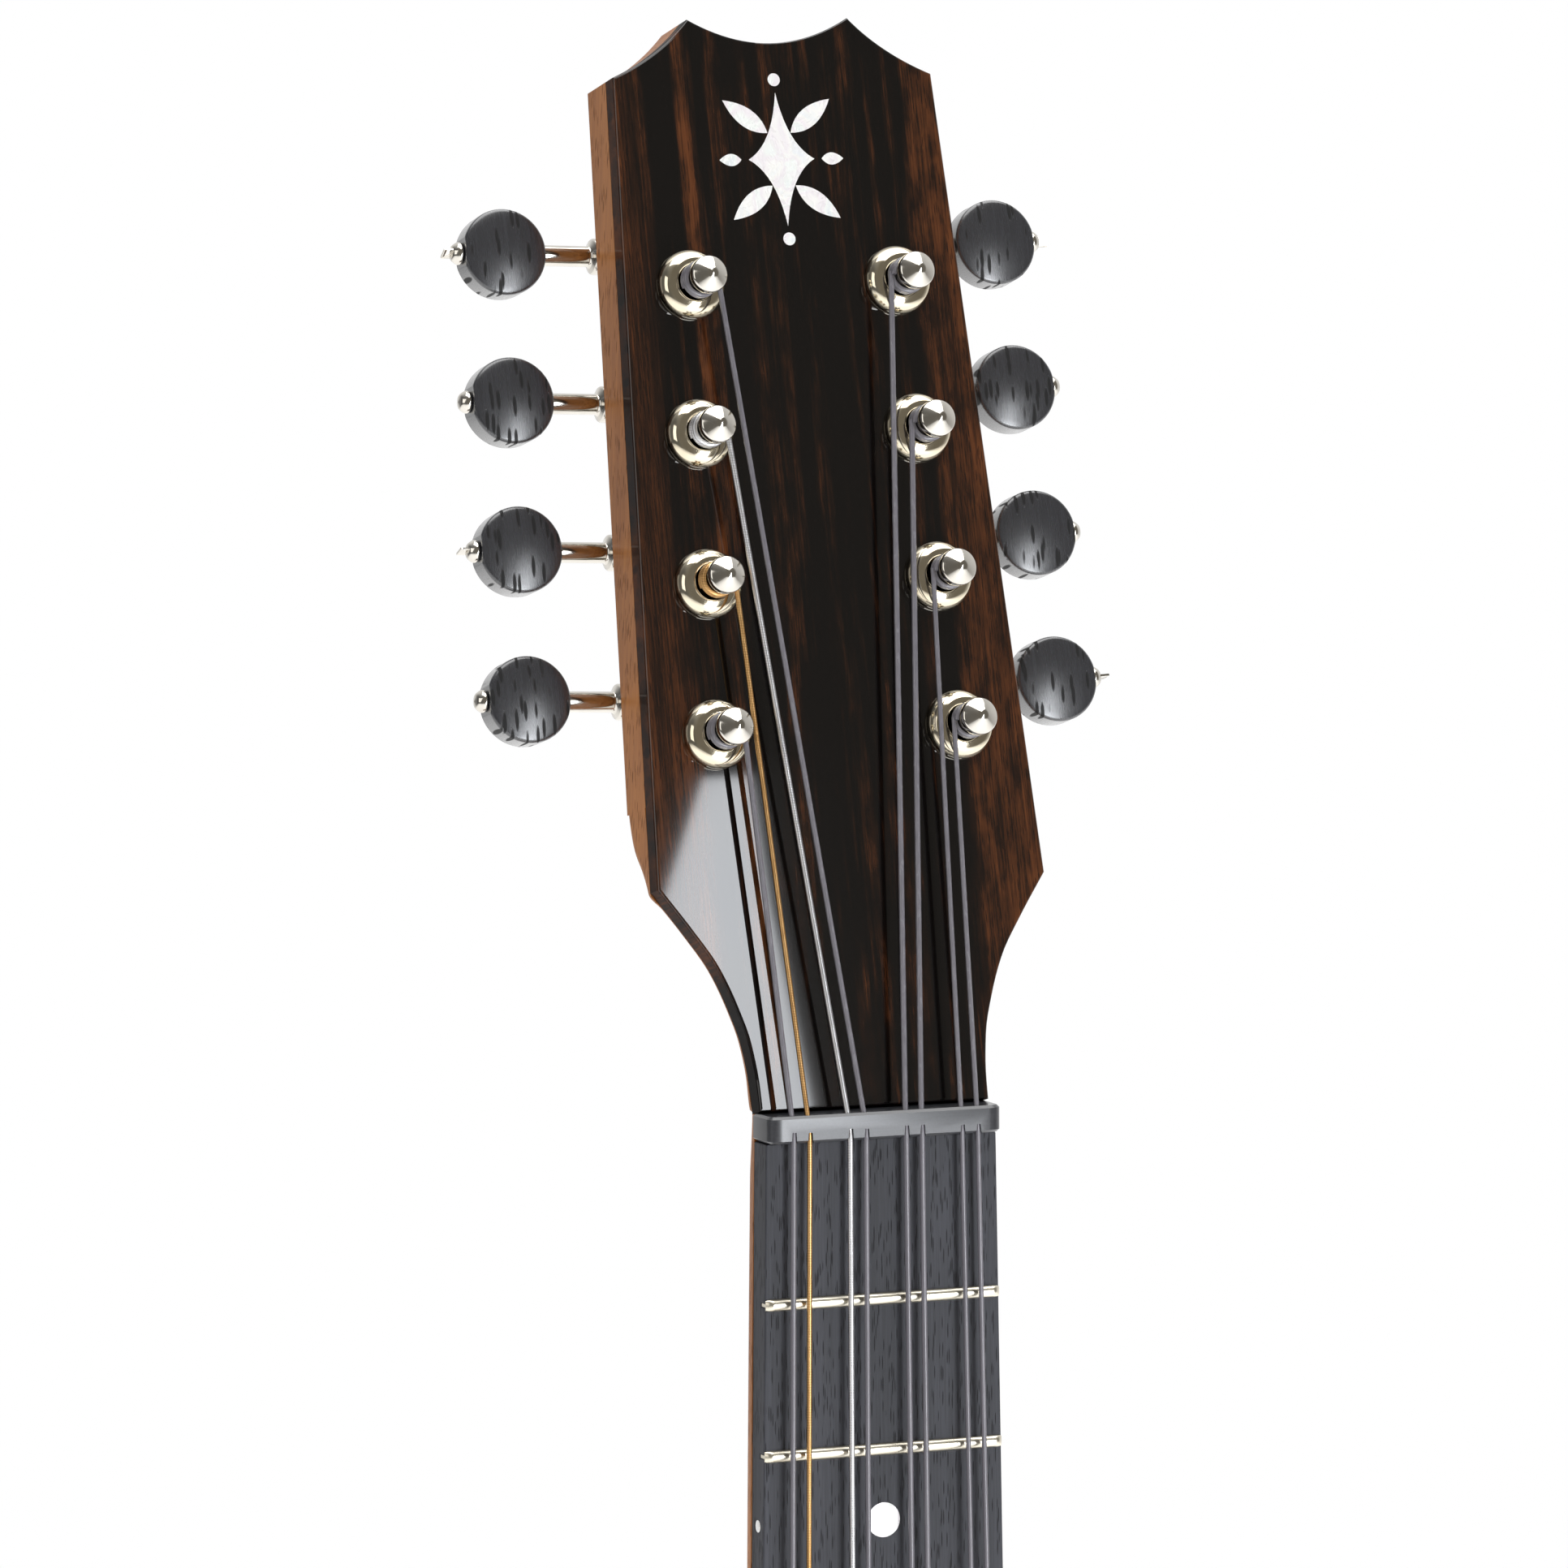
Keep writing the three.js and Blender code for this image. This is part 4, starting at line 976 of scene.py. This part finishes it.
gear_rim = []
for tooth in range(TEETH):
    middle = 2 * math.pi * (tooth + 0.5) / TEETH
    for shift, radius in ((-0.115, 4.8), (-0.04, 5.85), (0.04, 5.85), (0.115, 4.8)):
        gear_rim.append(Vector((radius * math.sin(middle + shift), radius * math.cos(middle + shift))))
WORM_PITCH_R = 2.1
GEAR_PITCH_R = WORM_OFFSET - WORM_PITCH_R
WORM_PITCH = 2 * math.pi * GEAR_PITCH_R / TEETH
skew = WORM_PITCH / (2 * math.pi * WORM_PITCH_R * GEAR_PITCH_R)
gear_levels = [AXIS - 1.5 + 3 * step / 6 for step in range(7)]
gear_points, gear_faces = slab(gear_rim, [], [(level, 0) for level in gear_levels])
gear_points = [Matrix.Rotation(skew * (p.y - AXIS), 3, "Y") @ p for p in gear_points]
gear_back = AXIS + 1.5
post_profile = [(0, -gear_back - 1.5), *eased_profile([
    (0.01, -gear_back - 1.5), (2.4, -gear_back - 1.35), (2.5, -gear_back + 0.5), (SHANK_R, -12),
    (SHANK_R, 3.3),
    (WAIST_R, 3.9), (WAIST_R, 6.5), (2.85, 7.1), (2.85, 8.45), (0.75, 9.75), (0.01, 9.95),
], 0.28, 4), (0, 9.95)]
post_shape = turned(post_profile, 48)
driver_slot = block((-3, gear_back + 0.9, -0.35), (3, gear_back + 2, 0.35))
for word, side in SIDES.items():
    for row in ROWS:
        spot = tuner_row[word] @ Matrix.Translation((0, 0, row * POST_SPACING))
        number = row + 1
        cup = solid(bushing_shape, spot)
        bushing = piece(f"bushing_cup_{word}_{number}", cup, bushing_nickel)
        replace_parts(bushing, f"bushing_{word}_{number}")
        tilt = Matrix.Rotation(0.5 + 1.1 * row + side * 0.3, 4, "Y")
        post = worked(solid(post_shape, spot), ("UNION", solid((gear_points, gear_faces), spot)),
                      ("DIFFERENCE", solid(driver_slot, spot @ tilt)))
        spindle = piece(f"post_turned_{word}_{number}", post, nickel, f"spindle_{word}_{number}")
        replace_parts(spindle, f"post_{word}_{number}")


# ---------------------------------------------------------------- worm shafts and buttons
# A steel worm shaft, nickelled, runs in the ears and out past the head's edge. Its button is a
# round slice of black wood, held on the shaft's end by a cross-head screw.

BUTTON_OUT = 24.05
BUTTON_R, BUTTON_HALF, BUTTON_SEAT = 6.7, 2.9, 6.35
BUTTON_DOME = 0.5  # how far each face swells
SHAFT_R = 1.6
WORM_ROOT, WORM_TIP, WORM_HALF = 1.5, 2.65, 2.5
seat_end = BUTTON_OUT + BUTTON_SEAT

shaft_profile = eased_profile([
    (0, -6.6), (1.5, -6.6), (SHAFT_R, -6.3), (WORM_ROOT, -4.4), (WORM_ROOT, 4.4), (SHAFT_R, 6.3), (2.8, 6.3),
    (2.8, 9.3), (SHAFT_R, 9.8), (SHAFT_R, BUTTON_OUT + 3), (0.9, BUTTON_OUT + 3), (0.9, seat_end + 0.1),
    (1.75, seat_end + 0.1), (1.75, seat_end + 0.75), (1.15, seat_end + 1.6), (0, seat_end + 1.85),
], 0.35, 4)
shaft_shape = turned(shaft_profile, 40, Vector((1, 0, 0)))
thread_rings = []
PER_TURN = 28
thread_steps = round(2 * WORM_HALF * PER_TURN / WORM_PITCH)
for i in range(thread_steps + 1):
    turn = (i - thread_steps / 2) / PER_TURN
    angle = 2 * math.pi * turn
    fade = min(1, 4 * min(i, thread_steps - i) / PER_TURN)
    tip = WORM_ROOT - 0.3 + (WORM_TIP - WORM_ROOT + 0.3) * fade
    ring = []
    for radius, shift in ((WORM_ROOT - 0.5, -0.62), (tip, -0.1), (tip, 0.1), (WORM_ROOT - 0.5, 0.62)):
        ring.append(Vector((turn * WORM_PITCH + shift, radius * math.sin(angle), -radius * math.cos(angle))))
    thread_rings.append(ring)
cross = [block((seat_end + 0.9, -0.16, -1.05), (seat_end + 3, 0.16, 1.05)),
         block((seat_end + 0.9, -1.05, -0.16), (seat_end + 3, 1.05, 0.16))]

button_wood, place = finish("button_wood", Coat_Roughness=0.23, Coat_IOR=1.68, Specular_IOR_Level=0.4)
place = on_head(place)
grain = place.clouds(0.35, 5, 9, detail=4, roughness=0.7)
pore = place.pores(0.85, 6, 4.6, 0.6)
feed(
    button_wood,
    Base_Color=(pore * 0.95).blend(grain.blend(colour(32, 33, 36), colour(54, 55, 60)), colour(7, 7, 8)),
    Coat_Weight=1 - pore * 0.95,
    Roughness=0.22 + grain * 0.1 + pore * 0.4,
    Normal=(grain * 0.15 - pore).relief(0.12, 0.7),
)
crown_profile = []
edge = BUTTON_R - 0.55
for step in range(9):
    radius = edge * step / 8
    crown_profile.append((radius, BUTTON_HALF - BUTTON_DOME * (radius / edge) ** 2))
disc_profile = [(radius, -height) for radius, height in crown_profile]
shoulder = [Vector((edge, BUTTON_HALF - BUTTON_DOME)), Vector((BUTTON_R - 0.05, BUTTON_HALF - 0.6)),
            Vector((BUTTON_R, BUTTON_HALF - 1.15))]
disc_profile += arc(*[Vector((corner.x, -corner.y)) for corner in shoulder], 5)
disc_profile += arc(*shoulder[::-1], 5)
disc_profile += crown_profile[::-1]
disc_shape = turned(disc_profile, 72)
disc_bore = turned([(0, -BUTTON_R - 2), (SHAFT_R + 0.15, -BUTTON_R - 2), (SHAFT_R + 0.15, 3.2), (1.05, 3.2),
                    (1.05, BUTTON_R + 2), (0, BUTTON_R + 2)], 32, Vector((1, 0, 0)))
seat_cut = block((BUTTON_SEAT, -4, -4), (BUTTON_R + 2, 4, 4))

for word, side in SIDES.items():
    flip = Matrix.Rotation(math.pi if side < 0 else 0, 4, "Z")
    for row in ROWS:
        number = row + 1
        body = f"key_{word}_{number}"
        spot = tuner_row[word] @ Matrix.Translation((0, AXIS, row * POST_SPACING + WORM_OFFSET)) @ flip
        roll = spot @ Matrix.Rotation(0.4 + 0.9 * row - 0.5 * side, 4, "X")
        shaft = worked(solid(shaft_shape, spot), ("UNION", solid(lofted(thread_rings), spot)),
                       ("DIFFERENCE", merged([solid(cut, roll) for cut in cross])))
        made = piece(f"worm_turned_{word}_{number}", shaft, nickel, body)
        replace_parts(made, f"worm_shaft_{word}_{number}")
        place_out = spot @ Matrix.Translation((BUTTON_OUT, 0, 0))
        disc = worked(solid(disc_shape, place_out), ("DIFFERENCE", solid(disc_bore, place_out)),
                      ("DIFFERENCE", solid(seat_cut, place_out)))
        made = piece(f"button_disc_{word}_{number}", disc, button_wood, body)
        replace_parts(made, f"button_{word}_{number}")


# ---------------------------------------------------------------- strings
# Eight strings in four pairs: six of clear fluorocarbon, one wound with bronze and one with silver.
# Each is tied round the tie block, runs over the saddle and the nut, and winds on its post.

COURSE_NUT = [-13.7, -4.55, 4.55, 13.7]
COURSE_SADDLE = [-19.2, -6.4, 6.4, 19.2]
PAIR_HALF = 1.3
STRING_R = [0.42, 0.4, 0.44, 0.42, 0.44, 0.44, 0.38, 0.38]
ROUTE = [("left", 0), ("left", 1), ("left", 2), ("left", 3),
         ("right", 3), ("right", 2), ("right", 1), ("right", 0)]
BRIDGE_FRONT, BRIDGE_BACK = -426, -450
SADDLE_Z = BRIDGE_FRONT - 6.3
TIE_FRONT = BRIDGE_FRONT - 14.5
NUT_Y, SADDLE_Y = -1.7, -6.3
WIND_OUT = 4.6

string_clear, place = finish("string_clear", Specular_IOR_Level=0.6, Coat_Weight=0.5, Coat_Roughness=0.1)
milk = place.clouds(0.5, 0.5, 40, detail=2)
feed(string_clear, Base_Color=milk.blend(colour(92, 90, 96), colour(122, 119, 126)),
     Roughness=0.2 + milk * 0.12)


def wound_finish(name, dark, bright):
    """A wound string: fine wire laid round a core, shiny on each turn and dull between turns, with painted
    shade in the grooves.
    """
    material, place = finish(name, Metallic=1.0)
    height = place.axis(2) * (1 / (0.24 * MM))
    turn = abs(height.maths("FRACT", height) * 2 - 1)
    wear = place.clouds(0.6, 0.6, 12, detail=3)
    # The colour goes to the darker one in worn patches and, as painted shade, in the grooves between turns.
    feed(material, Base_Color=(turn * 0.5 + wear * 0.5).eased(0.1, 0.9).blend(bright, dark),
         Roughness=0.24 + turn * 0.12 + wear * 0.08, Normal=(1 - turn).relief(0.03, 0.4))
    return material


# The first colour of each is both the worn patches and the painted shade in the grooves between turns.
string_gold = wound_finish("string_gold", colour(160, 112, 62), colour(240, 196, 136))
string_silver = wound_finish("string_silver", colour(170, 170, 174), colour(244, 244, 246))
LOOKS = {1: (string_gold, "string_gold"), 2: (string_silver, "string_silver")}


def swept(path, radius, sides=14):
    """A round wire along a path."""
    rings = []
    along = (path[1] - path[0]).normalized()
    spoke = along.orthogonal().normalized()
    for i, point in enumerate(path):
        ahead = path[min(i + 1, len(path) - 1)] - path[max(i - 1, 0)]
        ahead.normalize()
        spoke = (spoke - ahead * spoke.dot(ahead)).normalized()
        third = ahead.cross(spoke)
        turns = [2 * math.pi * k / sides for k in range(sides)]
        rings.append([point + (spoke * math.cos(t) + third * math.sin(t)) * radius for t in turns])
    return lofted(rings)


for number, (word, row) in enumerate(ROUTE):
    side = SIDES[word]
    radius = STRING_R[number]
    shift = -PAIR_HALF if number % 2 == 0 else PAIR_HALF
    nut_x = COURSE_NUT[number // 2] + shift
    saddle_x = COURSE_SADDLE[number // 2] + shift
    post_x, post_up = post_at(side, row)
    beside = HEAD @ Vector((post_x - side * (WAIST_R + radius + 0.3), -WIND_OUT, post_up + 0.5))
    bends = [
        (saddle_x, 0, BRIDGE_BACK - 0.4),
        (saddle_x, 0, TIE_FRONT - 0.4),
        (saddle_x, SADDLE_Y + 0.5, SADDLE_Z - 1),
        (saddle_x, SADDLE_Y, SADDLE_Z + 0.4),
        (nut_x, NUT_Y, 0.9),
        (nut_x, NUT_Y + 0.25, 2.6),
        beside,
    ]
    material, slot_name = LOOKS.get(number, (string_clear, "string_clear"))
    path = eased_profile(bends, 1.0, 5)
    string = piece(f"string_run_{number + 1}", solid(swept(path, radius)), material)
    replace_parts(string, f"string_{number + 1}")

    # The turns on the post go down from where the string meets it.
    coil_r = WAIST_R + radius + 0.06
    turns = 2.6
    coil = []
    for step in range(int(turns * 28) + 1):
        angle = step / 28 * 2 * math.pi
        rise = WIND_OUT + 0.55 - (step / 28) * (radius * 1.75)
        coil.append(Vector((-side * coil_r * math.cos(angle), -rise, coil_r * math.sin(angle))))
    spot = HEAD @ Matrix.Translation((post_x, 0, post_up))
    piece(f"post_turns_{number + 1}", solid(swept(coil, radius * 0.92, 12), spot), material,
          f"spindle_{word}_{row + 1}")

    # The tied end goes over the tie block and is tucked under itself.
    top = -1.7 - radius
    knot = [
        (saddle_x, 0, BRIDGE_BACK - 0.35),
        (saddle_x + 0.25, -0.7, BRIDGE_BACK - 0.75),
        (saddle_x + 0.7, top - 0.1, BRIDGE_BACK + 0.6),
        (saddle_x + 1.15, top, BRIDGE_BACK + 3),
        (saddle_x + 1.2, top, TIE_FRONT - 1.0),
        (saddle_x + 0.9, top + 0.35, TIE_FRONT + 0.55),
        (saddle_x, top + 0.1, TIE_FRONT + 1.2),
        (saddle_x - 0.9, top + 0.1, TIE_FRONT + 0.4),
        (saddle_x - 1.1, top, TIE_FRONT - 1.4),
        (saddle_x - 0.5, top - radius * 0.6, TIE_FRONT - 3.4),
        (saddle_x + 0.6, top - radius * 1.9, TIE_FRONT - 4.6),
        (saddle_x + 1.9, top - radius * 1.2, TIE_FRONT - 5.8),
        (saddle_x + 2.7, top, TIE_FRONT - 6.8),
    ]
    path = through(knot, 6)
    piece(f"tied_end_{number + 1}", solid(swept(path, radius * 0.9, 12)), material)


# ---------------------------------------------------------------- studio
# A plain pale floor in a plain pale surround, which is dimmer in front and on the left. A tall soft
# light stands in front to the right, one stands to the left, and one hangs above. The camera
# looks at the head from the left.

FLOOR_R = 3.0
low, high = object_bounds()
bpy.ops.mesh.primitive_circle_add(vertices=96, radius=FLOOR_R, fill_type="NGON", location=(0, 0, low[2]))
floor = bpy.context.object
floor.name = "floor"
paper, place = finish("paper", Specular_IOR_Level=0.2, Emission_Color=(1, 1, 1, 1), Emission_Strength=0.45)
tooth = place.clouds(3, 3, 3, detail=3)
reach = place.node("VectorMath", {"operation": "LENGTH"}, {0: place}, 1)
feed(paper, Base_Color=tooth.blend(colour(236, 236, 236), colour(242, 242, 242)), Roughness=0.7 + tooth * 0.1,
     Alpha=1 - reach.eased(FLOOR_R * 0.3, FLOOR_R * 0.97))
floor.data.materials.append(paper)

world = bpy.data.worlds.new("studio")
bpy.context.scene.world = world
world.use_nodes = True
surround = world.node_tree
view = Wire(surround.nodes.new("ShaderNodeTexCoord").outputs["Generated"])
front_share = view.node("VectorMath", {"operation": "DOT_PRODUCT"}, {0: view, 1: (0.33, -0.9, 0.28)}, 1)
left_share = view.node("VectorMath", {"operation": "DOT_PRODUCT"}, {0: view, 1: (-0.98, -0.15, 0.0)}, 1)
sides = left_share.eased(0.0, 0.8).blend((0.92, 0.92, 0.92, 1), (0.13, 0.129, 0.127, 1))
glow = front_share.eased(0.1, 0.75).blend(sides, (0.18, 0.167, 0.145, 1))
lit = view.node("Background", {}, {"Color": glow, "Strength": 1.0})
seen = view.node("Background", {}, {"Color": (1.0, 1.0, 1.0, 1), "Strength": 1.0})
looked_at = view.node("LightPath", {}, {})
shown = view.node("MixShader", {}, {0: looked_at, 1: lit, 2: seen})
surround.links.new(shown.socket, surround.nodes["World Output"].inputs["Surface"])


def lamp(name, place, aim, size, power, tint):
    """A soft rectangular light at a place, aimed at a point."""
    data = bpy.data.lights.new(name, "AREA")
    data.shape = "RECTANGLE"
    data.size, data.size_y = size
    data.energy = power
    data.color = tint
    light = bpy.data.objects.new(name, data)
    light.location = place
    light.rotation_euler = (Vector(aim) - Vector(place)).to_track_quat("-Z", "Y").to_euler()
    light.visible_camera = False
    bpy.context.scene.collection.objects.link(light)


# The front light is a tall panel, narrow at its top.
panel_rim = [(0.631, 0.647), (0.648, 0.647), (0.646, 0.6), (0.647, 0.53), (0.6, -0.5), (0.02, -0.5),
             (0.335, 0.08)]
panel = bpy.data.meshes.new("front_panel")
panel.from_pydata([(x, -1.51, z) for x, z in panel_rim], [], [tuple(range(len(panel_rim)))])
front_panel = bpy.data.objects.new("front_panel", panel)
bpy.context.scene.collection.objects.link(front_panel)
front_panel.visible_camera = False
glowing, place = finish("glowing_cloth", Base_Color=(0, 0, 0, 1), Emission_Strength=12.5)
weave = place.clouds(40, 40, 40, detail=2)
feed(glowing, Emission_Color=weave.blend((0.90, 0.94, 1.0, 1), (0.96, 0.98, 1.0, 1)))
panel.materials.append(glowing)

lamp("left_light", (-2.2, -0.9, 0.7), (0, 0, 0.05), (1.2, 1.6), 9, (1.0, 0.98, 0.95))
lamp("top_light", (0.2, -0.2, 2.3), (0, 0, 0), (2.4, 2.4), 60, (1.0, 1.0, 1.0))

camera_data = bpy.data.cameras.new("camera")
camera_data.lens = 215.15
camera_data.sensor_width = 36
camera_data.clip_start = 0.01
camera_data.clip_end = 200
camera = bpy.data.objects.new("camera", camera_data)
camera.location = (-0.5447, -1.29459, 0.15755)
camera.rotation_euler = tuple(math.radians(angle) for angle in (84.8405, 0.3566, -22.406))
bpy.context.scene.collection.objects.link(camera)
bpy.context.scene.camera = camera
bpy.context.scene.view_settings.view_transform = "Standard"
